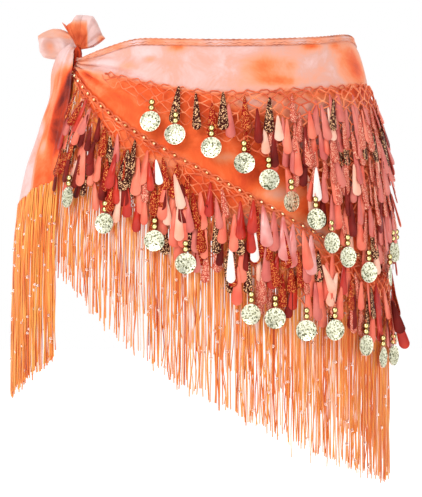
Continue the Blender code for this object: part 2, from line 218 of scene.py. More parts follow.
# %% Light and floor
def area_light(name, place, size, power):
    """A large lamp that faces the middle of the scarf."""
    lamp = bpy.data.lights.new(name, "AREA")
    lamp.shape = "RECTANGLE"
    lamp.size, lamp.size_y = size
    lamp.energy = power
    holder = link(name, lamp)
    holder.location = place
    holder.rotation_euler = (MIDDLE - Vector(place)).to_track_quat("-Z", "Y").to_euler()


MIDDLE = Vector((0, 0, -0.2))
DIM_FRONT = 0.45
area_light("key", (-1.0, -1.7, 1.0), (1.1, 1.1), 26)
area_light("fill", (1.6, -1.3, 0.3), (0.7, 1.4), 7)
area_light("back", (0.3, 1.9, 0.9), (1.6, 0.8), 9)

world = bpy.data.worlds.new("studio")
world.use_nodes = True
studio = world.node_tree
direction = studio.nodes.new("ShaderNodeTexCoord")
parts = studio.nodes.new("ShaderNodeSeparateXYZ")
from_front = studio.nodes.new("ShaderNodeMapRange")
from_front.inputs["From Min"].default_value = -0.9
from_front.inputs["From Max"].default_value = 0.1
from_front.inputs["To Min"].default_value = DIM_FRONT
seen = studio.nodes.new("ShaderNodeLightPath")
strength = studio.nodes.new("ShaderNodeMath")
strength.operation = "MAXIMUM"
studio.links.new(direction.outputs["Generated"], parts.inputs["Vector"])
studio.links.new(parts.outputs["Y"], from_front.inputs["Value"])
studio.links.new(from_front.outputs["Result"], strength.inputs[0])
studio.links.new(seen.outputs["Is Camera Ray"], strength.inputs[1])
studio.links.new(strength.outputs["Value"], studio.nodes["Background"].inputs["Strength"])
studio.nodes["Background"].inputs["Color"].default_value = (1, 1, 1, 1)
bpy.context.scene.world = world

FLOOR_BELOW = 0.12
PAPER = {
    "Base Color": (0.96, 0.96, 0.96, 1),
    "Roughness": 0.9,
    "Emission Color": (1, 1, 1, 1),
    "Emission Strength": 0.3,
}
shape = bmesh.new()
bmesh.ops.create_grid(shape, x_segments=1, y_segments=1, size=6)
bmesh.ops.translate(shape, vec=(0, 0, cad_box[0][2] - FLOOR_BELOW), verts=shape.verts)
floor = from_shape("floor", shape)
floor_paint = bpy.data.materials.new("floor_paper")
floor_paint.use_nodes = True
for name, value in PAPER.items():
    floor_paint.node_tree.nodes["Principled BSDF"].inputs[name].default_value = value
floor.data.materials.append(floor_paint)
print("lamps:", 3, "floor at", round(cad_box[0][2] - FLOOR_BELOW, 3))

# %% [markdown]
# ## Shared effects
#
# Three effects serve more than one finish, so each is a node group: the fine crossing weave of
# chiffon, the twist of yarn, and the loose gold flakes of glitter. A group only puts out masks and
# heights that change over the surface. The shader stays in each material.


# %% Helpers for node trees
def colour(code):
    """A screen colour such as f0703a as the linear colour that a shader takes."""
    parts = [int(code[n : n + 2], 16) / 255 for n in (0, 2, 4)]
    return tuple(c / 12.92 if c <= 0.04045 else ((c + 0.055) / 1.055) ** 2.4 for c in parts) + (1.0,)


def add(tree, kind, **values):
    """A node with its settings. A value whose name is a socket's goes to that socket."""
    node = tree.nodes.new(kind)
    for name, value in values.items():
        if hasattr(node, name):
            setattr(node, name, value)
        else:
            node.inputs[name.replace("_", " ")].default_value = value
    return node


def math_node(tree, operation, first, second=None):
    node = add(tree, "ShaderNodeMath", operation=operation)
    for socket, value in zip(node.inputs, (first, second)):
        if isinstance(value, bpy.types.NodeSocket):
            tree.links.new(value, socket)
        elif value is not None:
            socket.default_value = value
    return node.outputs[0]


def new_group(name, inputs, outputs):
    group = bpy.data.node_groups.new(name, "ShaderNodeTree")
    for socket, value in inputs.items():
        made = group.interface.new_socket(socket, in_out="INPUT", socket_type="NodeSocketFloat")
        made.default_value = value
    for socket in outputs:
        group.interface.new_socket(socket, in_out="OUTPUT", socket_type="NodeSocketFloat")
    return group, group.nodes.new("NodeGroupInput"), group.nodes.new("NodeGroupOutput")


def use_group(tree, group, **values):
    node = tree.nodes.new("ShaderNodeGroup")
    node.node_tree = group
    for name, value in values.items():
        node.inputs[name.replace("_", " ")].default_value = value
    return node


def ramp(tree, source, stops):
    """A colour ramp from (place, colour code) stops."""
    node = tree.nodes.new("ShaderNodeValToRGB")
    while len(node.color_ramp.elements) < len(stops):
        node.color_ramp.elements.new(0.5)
    for element, (place, code) in zip(node.color_ramp.elements, stops):
        element.position = place
        element.color = colour(code)
    tree.links.new(source, node.inputs["Fac"])
    return node.outputs["Color"]


def new_material(name, **values):
    """A material with its constant shader values. Returns the material, its tree and its shader."""
    material = bpy.data.materials.new(name)
    material.use_nodes = True
    shader = material.node_tree.nodes["Principled BSDF"]
    for key, value in values.items():
        shader.inputs[key.replace("_", " ")].default_value = value
    return material, material.node_tree, shader


def bump(tree, shader, height, strength, distance):
    node = add(tree, "ShaderNodeBump", Strength=strength, Distance=distance)
    tree.links.new(height, node.inputs["Height"])
    tree.links.new(node.outputs["Normal"], shader.inputs["Normal"])


def paint(tree, shader, source, stops):
    """Colour a shader by a value, along a ramp."""
    tree.links.new(ramp(tree, source, stops), shader.inputs["Base Color"])


def noise(tree, **values):
    """A noise that lies on the object's own coordinates."""
    place = add(tree, "ShaderNodeTexCoord")
    texture = add(tree, "ShaderNodeTexNoise", **values)
    tree.links.new(place.outputs["Object"], texture.inputs["Vector"])
    return texture.outputs["Fac"]


# %% The weave group: two sets of fine threads that cross, with slubs
weave, weave_in, weave_out = new_group("chiffon weave", dict(Threads=1400.0, Slubs=0.4), ["Height"])
weave_place = add(weave, "ShaderNodeTexCoord")
BANDS = dict(wave_type="BANDS", Distortion=1.5, Detail=1.0)
weave_warp = add(weave, "ShaderNodeTexWave", bands_direction="Z", **BANDS)
weave_weft = add(weave, "ShaderNodeTexWave", bands_direction="DIAGONAL", **BANDS)
weave_slub = add(weave, "ShaderNodeTexNoise", Scale=90.0, Detail=3.0)
for texture in (weave_warp, weave_weft, weave_slub):
    weave.links.new(weave_place.outputs["Object"], texture.inputs["Vector"])
for texture in (weave_warp, weave_weft):
    weave.links.new(weave_in.outputs["Threads"], texture.inputs["Scale"])
slub_part = math_node(weave, "MULTIPLY", weave_slub.outputs["Fac"], weave_in.outputs["Slubs"])
crossing = math_node(weave, "ADD", weave_warp.outputs["Fac"], weave_weft.outputs["Fac"])
weave.links.new(math_node(weave, "ADD", crossing, slub_part), weave_out.inputs["Height"])

# %% The twist group: plies that wind round a yarn, and a colour that changes from strand to strand
twist, twist_in, twist_out = new_group(
    "yarn twist", dict(Plies=300.0, Across=260.0, Along=6.0), ["Height", "Shade"]
)
twist_place = add(twist, "ShaderNodeTexCoord")
PLIES = dict(wave_type="BANDS", bands_direction="DIAGONAL", Distortion=2.0, Detail=2.0)
twist_wave = add(twist, "ShaderNodeTexWave", **PLIES)
twist.links.new(twist_place.outputs["Object"], twist_wave.inputs["Vector"])
twist.links.new(twist_in.outputs["Plies"], twist_wave.inputs["Scale"])
twist_scale = add(twist, "ShaderNodeCombineXYZ")
for socket, source in (("X", "Across"), ("Y", "Across"), ("Z", "Along")):
    twist.links.new(twist_in.outputs[source], twist_scale.inputs[socket])
twist_stretch = add(twist, "ShaderNodeVectorMath", operation="MULTIPLY")
twist.links.new(twist_place.outputs["Object"], twist_stretch.inputs[0])
twist.links.new(twist_scale.outputs["Vector"], twist_stretch.inputs[1])
twist_noise = add(twist, "ShaderNodeTexNoise", Scale=1.0, Detail=2.0, Roughness=0.6)
twist.links.new(twist_stretch.outputs["Vector"], twist_noise.inputs["Vector"])
twist.links.new(twist_wave.outputs["Fac"], twist_out.inputs["Height"])
twist.links.new(twist_noise.outputs["Fac"], twist_out.inputs["Shade"])

# %% The glitter group: loose flakes, some of which catch the light
glitter, glitter_in, glitter_out = new_group(
    "glitter", dict(Flakes=1100.0, Cover=0.45), ["Flake", "Height"]
)
glitter_place = add(glitter, "ShaderNodeTexCoord")
glitter_cells = add(glitter, "ShaderNodeTexVoronoi", Randomness=1.0)
glitter.links.new(glitter_place.outputs["Object"], glitter_cells.inputs["Vector"])
glitter.links.new(glitter_in.outputs["Flakes"], glitter_cells.inputs["Scale"])
glitter_pick = add(glitter, "ShaderNodeSeparateColor")
glitter.links.new(glitter_cells.outputs["Color"], glitter_pick.inputs["Color"])
glitter_lit = math_node(glitter, "LESS_THAN", glitter_pick.outputs["Red"], glitter_in.outputs["Cover"])
glitter.links.new(glitter_lit, glitter_out.inputs["Flake"])
glitter.links.new(glitter_pick.outputs["Green"], glitter_out.inputs["Height"])
print("groups:", len(bpy.data.node_groups))

# %% [markdown]
# ## Finishes
#
# The chiffon is one cloth with tie-dye clouds, so its material reads a number on each point, its dye
# and painted shade, which runs from 0, the pale pink ground, to 1, full orange, and on to 1.25 for
# painted shade, the dark red of shaded folds. The table of blotches below fills in the dye, and noise
# in the shader frays their edges. Yarn, sequins and metal each get their own finish after it.

# %% Tie-dyed chiffon
# The last stop, past full orange, is painted shade: the dark red of cloth in shaded folds.
DYE_AND_SHADE_STOPS = [
    (0.0, "e6c0bc"),
    (0.16, "dda494"),
    (0.32, "ec9b7a"),
    (0.48, "ee824f"),
    (0.64, "ea5f26"),
    (0.8, "cc3c10"),
    (1.0, "5e0803"),
]
DYE_AND_SHADE_RANGE = 1.25
LIGHT_THROUGH = (255, 236, 226)


def thinned(code, share):
    """A colour code mixed towards the pale light that comes through thin cloth."""
    parts = [int(code[n : n + 2], 16) for n in (0, 2, 4)]
    return "".join(f"{round(part + (light - part) * share):02x}" for part, light in zip(parts, LIGHT_THROUGH))


def dyed_chiffon(name, alpha, light_through=0.0):
    material, tree, shader = new_material(
        name, Roughness=0.62, Sheen_Weight=0.12, Sheen_Roughness=0.4, Specular_IOR_Level=0.25, Alpha=alpha
    )
    # Each point's number carries its dye and, above 1, the painted shade of folds.
    dye_and_shade = add(tree, "ShaderNodeAttribute", attribute_name="dye_and_shade")
    clouds = noise(tree, Scale=30.0, Detail=6.0, Roughness=0.68, Distortion=0.6)
    frayed = math_node(tree, "MULTIPLY", math_node(tree, "SUBTRACT", clouds, 0.5), 0.85)
    share = math_node(tree, "DIVIDE", math_node(tree, "ADD", dye_and_shade.outputs["Fac"], frayed), DYE_AND_SHADE_RANGE)
    paint(tree, shader, share, [(at, thinned(code, light_through)) for at, code in DYE_AND_SHADE_STOPS])
    threads = use_group(tree, weave, Threads=1500.0, Slubs=0.6)
    bump(tree, shader, threads.outputs["Height"], 0.25, 0.0004)
    return material


chiffon = dyed_chiffon("dyed_chiffon", 1.0)
sheer_chiffon = dyed_chiffon("dyed_chiffon_sheer", 0.9, light_through=0.16)


# %% Yarn finishes
def yarn_finish(name, stops, across, along, roughness=0.5):
    values = dict(Roughness=roughness, Sheen_Weight=0.15, Specular_IOR_Level=0.45)
    material, tree, shader = new_material(name, **values)
    plies = use_group(tree, twist, Plies=420.0, Across=across, Along=along)
    paint(tree, shader, plies.outputs["Shade"], stops)
    bump(tree, shader, plies.outputs["Height"], 0.5, 0.0004)
    return material


FRINGE_STOPS = [
    (0.28, "b93c08"),
    (0.37, "e2620f"),
    (0.47, "f4862a"),
    (0.56, "f8aa48"),
    (0.62, "f9a684"),
    (0.68, "ffe4d8"),
]
fringe_yarn = yarn_finish("fringe_yarn", FRINGE_STOPS, 420.0, 5.0, roughness=0.32)
tail_yarn = yarn_finish("fringe_yarn_tail", FRINGE_STOPS[:4], 420.0, 5.0, roughness=0.32)
CROCHET_STOPS = [(0.3, "cf4a1c"), (0.5, "f0703a"), (0.7, "fb9c68")]
HEM_STOPS = [(0.3, "a8441c"), (0.5, "e58a5e"), (0.7, "f4b498")]
crochet_yarn = yarn_finish("crochet_yarn", CROCHET_STOPS, 60.0, 60.0)
hem_yarn = yarn_finish("hem_yarn", HEM_STOPS, 90.0, 90.0)


# %% Sequin finishes
def plain_sequin(name, dark, light, roughness=0.4, shine=0.35):
    material, tree, shader = new_material(name, Roughness=roughness, Specular_IOR_Level=shine)
    paint(tree, shader, noise(tree, Scale=45.0, Detail=2.0), [(0.3, dark), (0.7, light)])
    return material


def glitter_sequin(name, ground, flake, cover, size):
    material, tree, shader = new_material(name, Specular_IOR_Level=0.12)
    flakes = use_group(tree, glitter, Flakes=size, Cover=cover)
    mix = add(tree, "ShaderNodeMix", data_type="RGBA")
    mix.inputs["A"].default_value = colour(ground)
    mix.inputs["B"].default_value = colour(flake)
    tree.links.new(flakes.outputs["Flake"], mix.inputs["Factor"])
    tree.links.new(mix.outputs["Result"], shader.inputs["Base Color"])
    glint = math_node(tree, "MULTIPLY", flakes.outputs["Flake"], 0.3)
    tree.links.new(glint, shader.inputs["Metallic"])
    tree.links.new(math_node(tree, "SUBTRACT", 0.6, glint), shader.inputs["Roughness"])
    bump(tree, shader, flakes.outputs["Height"], 0.5, 0.0004)
    return material


SEQUIN_FINISHES = {
    "dark_glitter": glitter_sequin("sequin_dark_glitter", "42100a", "f6be8c", 0.24, 1200.0),
    "red_glitter": glitter_sequin("sequin_red_glitter", "981006", "f6944e", 0.2, 1600.0),
    "copper_glitter": glitter_sequin("sequin_copper_glitter", "c44c3a", "f8b69a", 0.28, 1700.0),
    "coral": plain_sequin("sequin_coral", "e45b44", "f28468"),
    "maroon": plain_sequin("sequin_maroon", "58100c", "8a2018", shine=0.12),
    "brick": plain_sequin("sequin_brick", "c6564e", "de7a6a"),
    "crimson": plain_sequin("sequin_crimson", "a81408", "d0341c", roughness=0.3),
    "pale_orange": plain_sequin("sequin_pale_orange", "f3a284", "fac9b2"),
    # Painted highlight: white sequins stand where sequins glare with light.
    "white": plain_sequin("sequin_glare_white", "fbe4dc", "fffaf4", roughness=0.2),
    "pearl": plain_sequin("sequin_pearl", "d25c52", "f4b8b0", roughness=0.22, shine=0.45),
}


# %% Stamped gold
def gold_finish(name, stops, dents, depth, roughness):
    material, tree, shader = new_material(name, Metallic=1.0)
    place = add(tree, "ShaderNodeTexCoord")
    hammered = add(tree, "ShaderNodeTexVoronoi", feature="SMOOTH_F1", Scale=dents, Smoothness=0.5)
    patina = add(tree, "ShaderNodeTexNoise", Scale=dents * 0.9, Detail=3.0, Roughness=0.6)
    for texture in (hammered, patina):
        tree.links.new(place.outputs["Object"], texture.inputs["Vector"])
    paint(tree, shader, patina.outputs["Fac"], stops)
    worn = math_node(tree, "ADD", math_node(tree, "MULTIPLY", patina.outputs["Fac"], 0.25), roughness - 0.12)
    tree.links.new(worn, shader.inputs["Roughness"])
    bump(tree, shader, hammered.outputs["Distance"], 0.6, depth)
    return material


COIN_STOPS = [(0.38, "3e4628"), (0.45, "c2be98"), (0.53, "edecd6")]
BRAID_STOPS = [(0.35, "c98248"), (0.5, "f0c48c"), (0.65, "fdeacb")]
BEAD_STOPS = [(0.35, "8a6c26"), (0.5, "cdb05c"), (0.65, "f0e0a0")]
# Colours of the painted highlight and rim reflection of the coin beads.
BEAD_PAINTED_SHINE = [(0.08, "f4e2a0"), (0.34, "9c7c2c"), (0.62, "3a2c0c")]
coin_gold = gold_finish("coin_gold", COIN_STOPS, 640.0, 0.0003, 0.34)
braid_gold = gold_finish("braid_gold", BRAID_STOPS, 260.0, 0.0001, 0.2)
bead_gold = gold_finish("bead_gold", BEAD_STOPS, 260.0, 0.0001, 0.16)
# Painted highlight and reflection: the coin beads are coloured bright gold where they face the camera and
# dark gold towards their rims.
bead_tree = bead_gold.node_tree
painted_rim_shade = add(bead_tree, "ShaderNodeLayerWeight", Blend=0.45)
paint(bead_tree, bead_tree.nodes["Principled BSDF"], painted_rim_shade.outputs["Facing"], BEAD_PAINTED_SHINE)
clear_bead, clear_tree, clear_shader = new_material("clear_bead", Roughness=0.06, Transmission_Weight=0.55)
paint(clear_tree, clear_shader, noise(clear_tree, Scale=30.0), [(0.4, "eab094"), (0.6, "fbdccc")])
print("materials:", len(bpy.data.materials))

# %% [markdown]
# ## Ways of making
#
# Cloth starts as a flat grid whose points are then draped on the hips, and Solidify gives it its
# thickness. Yarn is a bevelled curve along each path, made into a mesh. Sequins, coins and beads
# are modelled once and repeated as one joined mesh for each finish, because hundreds of loose
# objects would be slow to render and export.


# %% Helpers for pieces
def finish_piece(piece, material, slot, *nodes):
    piece.data.materials.clear()
    piece.data.materials.append(material)
    piece.data.shade_smooth()
    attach(piece, "root")
    if nodes:
        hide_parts(*nodes)
    print(piece.name, "faces:", len(piece.data.polygons))
    return piece


def cloth(name, columns, rows, shape, dye_and_shade, thickness):
    """A grid draped by shape(across, down), both 0 to 1, with its dye and painted shade on each point."""
    bm = bmesh.new()
    bmesh.ops.create_grid(bm, x_segments=columns, y_segments=rows, size=0.5)
    flat = np.array([v.co[:2] for v in bm.verts]) + 0.5
    across, down = flat[:, 0], 1 - flat[:, 1]
    for vert, place in zip(bm.verts, shape(across, down)):
        vert.co = place
    layer = bm.verts.layers.float.new("dye_and_shade")
    for vert, value in zip(bm.verts, dye_and_shade(across, down)):
        vert[layer] = value
    piece = from_shape(name, bm)
    wall = piece.modifiers.new("wall", "SOLIDIFY")
    wall.thickness = thickness * MM
    wall.offset = 0
    return piece


def yarns(name, paths, radius, taper=1.0, swell=None):
    """One mesh of four-sided yarns, a path in metres for each. swell thickens each point."""
    curve = bpy.data.curves.new(name, "CURVE")
    curve.dimensions = "3D"
    curve.bevel_depth = radius * MM
    curve.bevel_resolution = 0
    curve.use_fill_caps = True
    for n, path in enumerate(paths):
        spline = curve.splines.new("POLY")
        spline.points.add(len(path) - 1)
        spline.points.foreach_set("co", np.c_[path, np.ones(len(path))].ravel())
        width = np.linspace(1, taper, len(path)) if swell is None else swell[n]
        spline.points.foreach_set("radius", width)
        spline.use_smooth = True
    holder = link(name + "_curve", curve)
    ready = holder.evaluated_get(bpy.context.evaluated_depsgraph_get())
    mesh = bpy.data.meshes.new_from_object(ready)
    bpy.data.objects.remove(holder)
    bpy.data.curves.remove(curve)
    mesh.name = name
    return link(name, mesh)


def repeat(name, shape, places, axes, sizes):
    """Copies of one small bmesh shape. axes are each copy's across, out and up directions."""
    shape.verts.ensure_lookup_table()
    points = np.array([v.co for v in shape.verts])
    faces = [[v.index for v in face.verts] for face in shape.faces]
    shape.free()
    scaled = points[None] * np.asarray(sizes)[:, None, :]
    placed = np.einsum("nij,nki->nkj", axes, scaled) + np.asarray(places)[:, None]
    count = len(points)
    every = [[v + n * count for v in face] for n in range(len(placed)) for face in faces]
    mesh = bpy.data.meshes.new(name)
    mesh.from_pydata(placed.reshape(-1, 3).tolist(), [], every)
    return link(name, mesh)


def swung(first, second, angle):
    """Two directions swung round together by an angle, the first one towards the second."""
    cosine, sine = np.cos(angle), np.sin(angle)
    return first * cosine + second * sine, second * cosine - first * sine


def upright(outward, turn=0.0, lean=0.0, tip=0.0):
    """Axes of small things that hang, turned about the plumb line, leaning sideways and tipped outwards."""
    outward = np.asarray(outward, float) * (1, 1, 0)
    outward /= np.linalg.norm(outward, axis=1, keepdims=True)
    up = np.tile((0.0, 0.0, 1.0), (len(outward), 1))
    across = np.cross(up, outward)
    turn, lean, tip = (np.broadcast_to(np.radians(a), len(outward))[:, None] for a in (turn, lean, tip))
    across, outward = swung(across, outward, turn)
    outward, up = swung(outward, up, tip)
    up, across = swung(up, across, lean)
    return np.stack([across, outward, up], 1)


def outward_at(angle, drop):
    return (hips(angle, drop, 1.0 + 0 * angle) - hips(angle, drop, 0 * angle)) / MM


# %% [markdown]
# ## The wrap
#
# On the real scarf the chiffon is pulled tight at the knot, so creases fan out of it and die away
# over the stomach. The rows of the grid already gather towards the knot, because the cloth narrows
# there, so creases that follow the rows fan out by themselves. The upper edge stays smooth, and the
# short edge flutes a little.

# %% Creases and dye of the wrap, with painted shade in its creases
CREASE_DEPTH = 3.0
CREASE_REACH = 62.0
FLUTE = 2.2

BLOTCHES = table(
    "angle drop wide tall amount",
    (75, 13, 4, 5, 0.5),
    (65, 25, 3, 3.5, 0.35),
    (58, 31, 5, 5, 0.3),
    (24, 22, 14, 7, 0.4),
    (109, 31, 7, 10, 0.5),
    (113, 47, 13, 7, 0.55),
    (120, 30, 3.5, 8, 0.4),
    (131, 10, 6, 5, 0.6),
    (158, 26, 13, 22, 0.65),
    (145, 9, 4, 4, 0.4),
    (205, 20, 11, 14, 0.7),
    (238, 35, 12, 9, 0.6),
    (270, 12, 9, 6, 0.5),
    (296, 28, 12, 9, 0.65),
    (330, 24, 14, 8, 0.5),
    (103, 68, 11, 8, -0.6),
    (132, 76, 20, 17, -0.66),
    (126, 108, 12, 14, -0.7),
    (150, 100, 14, 30, -0.6),
    (143, 148, 12, 12, -0.6),
    (94, 122, 5, 5, -0.35),
    (111, 158, 9, 9, -0.5),
    (104, 184, 11, 12, -0.65),
    (120, 198, 12, 14, -0.65),
    (72, 128, 7, 8, -0.35),
    (226, 90, 20, 20, -0.5),
    (262, 110, 12, 14, -0.4),
    (196, 140, 16, 24, -0.4),
    (300, 60, 10, 9, -0.35),
)

CREASES = table(
    "first last down_first down_last wide depth",
    (6, 64, 0.20, 0.35, 0.020, 2.8),
    (6, 46, 0.30, 0.55, 0.026, 2.2),
    (8, 34, 0.46, 0.74, 0.030, 1.8),
    (10, 80, 0.11, 0.17, 0.018, 1.0),
    (8, 54, 0.25, 0.45, 0.022, -2.0),
    (8, 40, 0.38, 0.64, 0.028, -1.6),
    (14, 88, 0.16, 0.26, 0.020, -0.8),
    (354, 298, 0.22, 0.38, 0.024, 2.6),
    (354, 316, 0.34, 0.58, 0.028, 2.0),
    (352, 306, 0.28, 0.47, 0.024, -1.8),
    (350, 282, 0.14, 0.20, 0.020, 1.0),
)


def hand_creases(angle, down):
    """How deep the listed troughs are at each point, in millimetres. A ridge is below 0."""
    deep = 0
    for row in CREASES:
        along = np.clip((angle - row.first) / (row.last - row.first), 0, 1)
        middle = row.down_first + (row.down_last - row.down_first) * along
        wide = row.wide * (1 + along)
        deep = deep + row.depth * np.exp(-(((down - middle) / wide) ** 2)) * np.sin(np.pi * along) ** 0.6
    return deep


def crease(angle, down):
    """Uneven creases that run along the rows, each from -1 in a trough to 1 on a ridge."""
    away = from_knot(angle)
    broad = np.sin(2 * np.pi * (4.6 * down + 0.3 * np.sin(away / 19)))
    fine = np.sin(2 * np.pi * (8.3 * down + 0.5 * np.sin(away / 27 + 1)))
    return 0.6 * broad + 0.4 * fine


def crease_fade(angle, down):
    tall = line("edge", angle) - line("waist", angle)
    near_knot = np.exp(-((from_knot(angle) / CREASE_REACH) ** 2))
    return near_knot * np.minimum(1, tall / 45) * ease(down, 0.14, 0.3)


def wrap_dye_and_shade(angle, drop):
    below_net = ease(drop - line("net", angle), -3, 5)
    down = (drop - line("waist", angle)) / (line("edge", angle) - line("waist", angle))
    # Painted light and shade: the dye is lowered on the crease ridges and raised in their troughs, so the
    # troughs are coloured darker as if shaded.
    crease_light_and_shade = 0.12 * crease(angle, down) * crease_fade(angle, down) - 0.09 * hand_creases(angle, down)
    ground = 0.07 + 0.09 * ease(angle, 50, 90)
    dye_and_shade = ground + 0.7 * below_net - crease_light_and_shade * (0.3 + 0.7 * below_net)
    for blotch in BLOTCHES:
        reach = ((angle - blotch.angle) / blotch.wide) ** 2 + ((drop - blotch.drop) / blotch.tall) ** 2
        dye_and_shade = dye_and_shade + blotch.amount * np.exp(-reach)
    return np.clip(dye_and_shade, 0.02, 1.05)


def wrap_place(across, down):
    angle = END_ANGLE + (360 - 2 * END_ANGLE) * across
    waist, edge = line("waist", angle), line("edge", angle)
    return angle, waist + (edge - waist) * down


def fluted(angle):
    """How the short edges flute, from 0 in a hollow to 1 on a crest. They lie flat near the knot."""
    turn = np.radians(angle)
    wave = 0.5 + 0.3 * np.cos(13 * turn) + 0.2 * np.cos(21 * turn)
    return wave * ease(share_of(angle), 0.2, 0.4)


def wrap_shape(across, down):
    angle, drop = wrap_place(across, down)
    soft = np.sin(np.radians(angle) * 7 + 5 * down) * np.sin(3.1 * down) * ease(share_of(angle), 0.2, 0.6)
    out = 0.8 + CREASE_DEPTH * crease_fade(angle, down) * np.maximum(crease(angle, down), -0.25) + 0.5 * soft
    out -= hand_creases(angle, down)
    out += FLUTE * fluted(angle) * ease(down, 0.82, 1.0)
    return hips(angle, drop, out)


wrap = cloth("wrap", 300, 54, wrap_shape, lambda u, v: wrap_dye_and_shade(*wrap_place(u, v)), 0.5)
finish_piece(wrap, chiffon, "chiffon", "wrap_cloth")

# %% [markdown]
# ## The waist hem
#
# The long edge is turned over and crocheted down: a narrow pale band between orange yarns. A band
# of cloth and four yarns that wander a little make it.

# %% Waist hem
HEM_BAND, HEM_RISE = 6.5, 0.6
NARROW_BELOW = 60
ROUND = np.linspace(END_ANGLE, 360 - END_ANGLE, 600)


def narrowing(angle):
    """How the trims narrow where the cloth gathers into the knot."""
    return np.minimum(1, (line("edge", angle) - line("waist", angle)) / NARROW_BELOW)


def hem_shape(across, down):
    angle = END_ANGLE + (360 - 2 * END_ANGLE) * across
    drop = line("waist", angle) - HEM_RISE + HEM_BAND * narrowing(angle) * down
    return hips(angle, drop, 1.5 + 0.9 * np.sin(np.pi * down))


hem = cloth("waist_hem", 300, 6, hem_shape, lambda u, v: 0.3 + 0.25 * np.sin(u * 97) * np.sin(u * 31), 0.5)
finish_piece(hem, chiffon, "crochet_trim", "waist_trim")


def along_hem(down, out, wander, turns):
    """A yarn that runs round at a share of the hem's band, and wanders a little."""
    narrow = narrowing(ROUND)
    wave = wander * np.sin(np.radians(ROUND) * turns)
    drop = line("waist", ROUND) - HEM_RISE + HEM_BAND * narrow * down + wave * narrow
    return hips(ROUND, drop, out + 0 * ROUND)


hem_paths = [
    along_hem(0.0, 2.2, 0.25, 151),
    along_hem(0.08, 2.5, 0.5, 223),
    along_hem(0.6, 2.6, 0.5, 97),
    along_hem(0.95, 2.5, 0.5, 171),
]
hem_yarns = yarns("hem_yarns", hem_paths, 0.36)
finish_piece(hem_yarns, hem_yarn, "crochet_trim")

# %% [markdown]
# ## The beaded braid
#
# A chain of crochet runs along the short edges about 31 mm above them, with a small gold bead held
# in each loop. Two pairs of yarns that swing in opposite ways make the chain, and a bead sits where
# they part.

# %% Beaded braid
BRAID_PITCH = 12.0
BEAD_RADIUS, BEAD_OUT = 1.7, 3.6


def spaced(column, first, last, pitch, out):
    """Angles at an even pitch in millimetres along one of the scarf's lines."""
    fine = np.linspace(first, last, 4000)
    points = hips(fine, line(column, fine), out + 0 * fine)
    run = run_along(points) / MM
    count = int(run[-1] / pitch)
    return np.interp(np.arange(count + 1) * pitch, run, fine)


bead_angles = spaced("braid", END_ANGLE + 1, 360 - END_ANGLE - 1, BRAID_PITCH, 3.0)
chain_angles = np.interp(np.arange(0, len(bead_angles) - 1, 1 / 12), np.arange(len(bead_angles)), bead_angles)
chain_step = np.arange(len(chain_angles)) / 12
chain_narrow, chain_line = narrowing(chain_angles), line("braid", chain_angles)
chains = []
for side in (-1, 1):
    swing = side * (0.5 + 1.9 * np.cos(np.pi * chain_step) ** 2) * chain_narrow
    out = 3.0 + 0.4 * side * np.sin(2 * np.pi * chain_step)
    chains.append(hips(chain_angles, chain_line + swing, out))
    wide = side * 2.7 * chain_narrow * np.abs(np.cos(np.pi * chain_step)) ** 0.5
    chains.append(hips(chain_angles, chain_line + wide, 2.4 + 0.3 * np.cos(5 * chain_step)))
braid = yarns("bead_braid_chain", chains, 0.48)
finish_piece(braid, crochet_yarn, "crochet_trim", "bead_braid")


def ball(segments, rings):
    shape = bmesh.new()
    bmesh.ops.create_uvsphere(shape, u_segments=segments, v_segments=rings, radius=1)
    return shape


inner_beads = bead_angles[1:-1]
bead_drops = line("braid", inner_beads)
bead_places = hips(inner_beads, bead_drops, BEAD_OUT + 0 * inner_beads)
bead_axes = upright(outward_at(inner_beads, bead_drops))
bead_sizes = np.full((len(inner_beads), 3), BEAD_RADIUS * MM)
finish_piece(repeat("braid_beads", ball(12, 8), bead_places, bead_axes, bead_sizes), braid_gold, "coin_gold")

# %% [markdown]
# ## The net tiers
#
# Each tier is crocheted from orange yarn in rows of long flat loops, about 15 mm wide and 5 mm
# high. A loop hangs from two points, and each loop of the next row starts from the lowest point of
# a loop above it. So one smooth arc is enough: it is laid out row by row, half a loop further on
# each time. The points where the loops meet are pulled about a little, as they are in a real net,
# and both arcs follow them.

# %% Where the tiers lie
UPPER_SHARE, LOWER_SHARE = 0.28, 0.19
SWELL_DROP, SWELL = 20.0, 5.0
TIER_OUT = {"upper": 7.0, "lower": 6.0}
NETTING = 2.0


def tier_top(kind, angle):
    return line("net", angle) if kind == "upper" else line("braid", angle) + 3.0


def tier_hem(kind, angle):
    return line(kind + "_hem", angle)


def tier_out(kind, angle, drop):
    """How far a tier's middle stands out at angles and drops."""
    top, hem = tier_top(kind, angle), tier_hem(kind, angle)
    swell = np.minimum(SWELL_DROP, (hem - top) / 3)
    first = 1.6 + (SWELL - 1.6) * np.clip((drop - top) / swell, 0, 1)
    rest = (TIER_OUT[kind] - SWELL) * np.clip((drop - top - swell) / (hem - top - swell), 0, 1)
    return first + rest + NETTING / 2


def tier_span(kind):
    share = UPPER_SHARE if kind == "upper" else LOWER_SHARE
    return share * POINT_ANGLE, 360 - share * (360 - POINT_ANGLE)


# %% Net yarns
CELL_WIDTH, CELL_HEIGHT = 15.0, 5.2
STEPS_AN_ARC = 8
PULLED_ACROSS, PULLED_DOWN = 0.6, 1.1
NET_THIN, NET_THICK = 0.6, 1.1
NET_FORWARD = {"upper": 1.1, "lower": -0.2}
BEHIND_SEQUINS = 2.2
net_chance = np.random.default_rng(4)


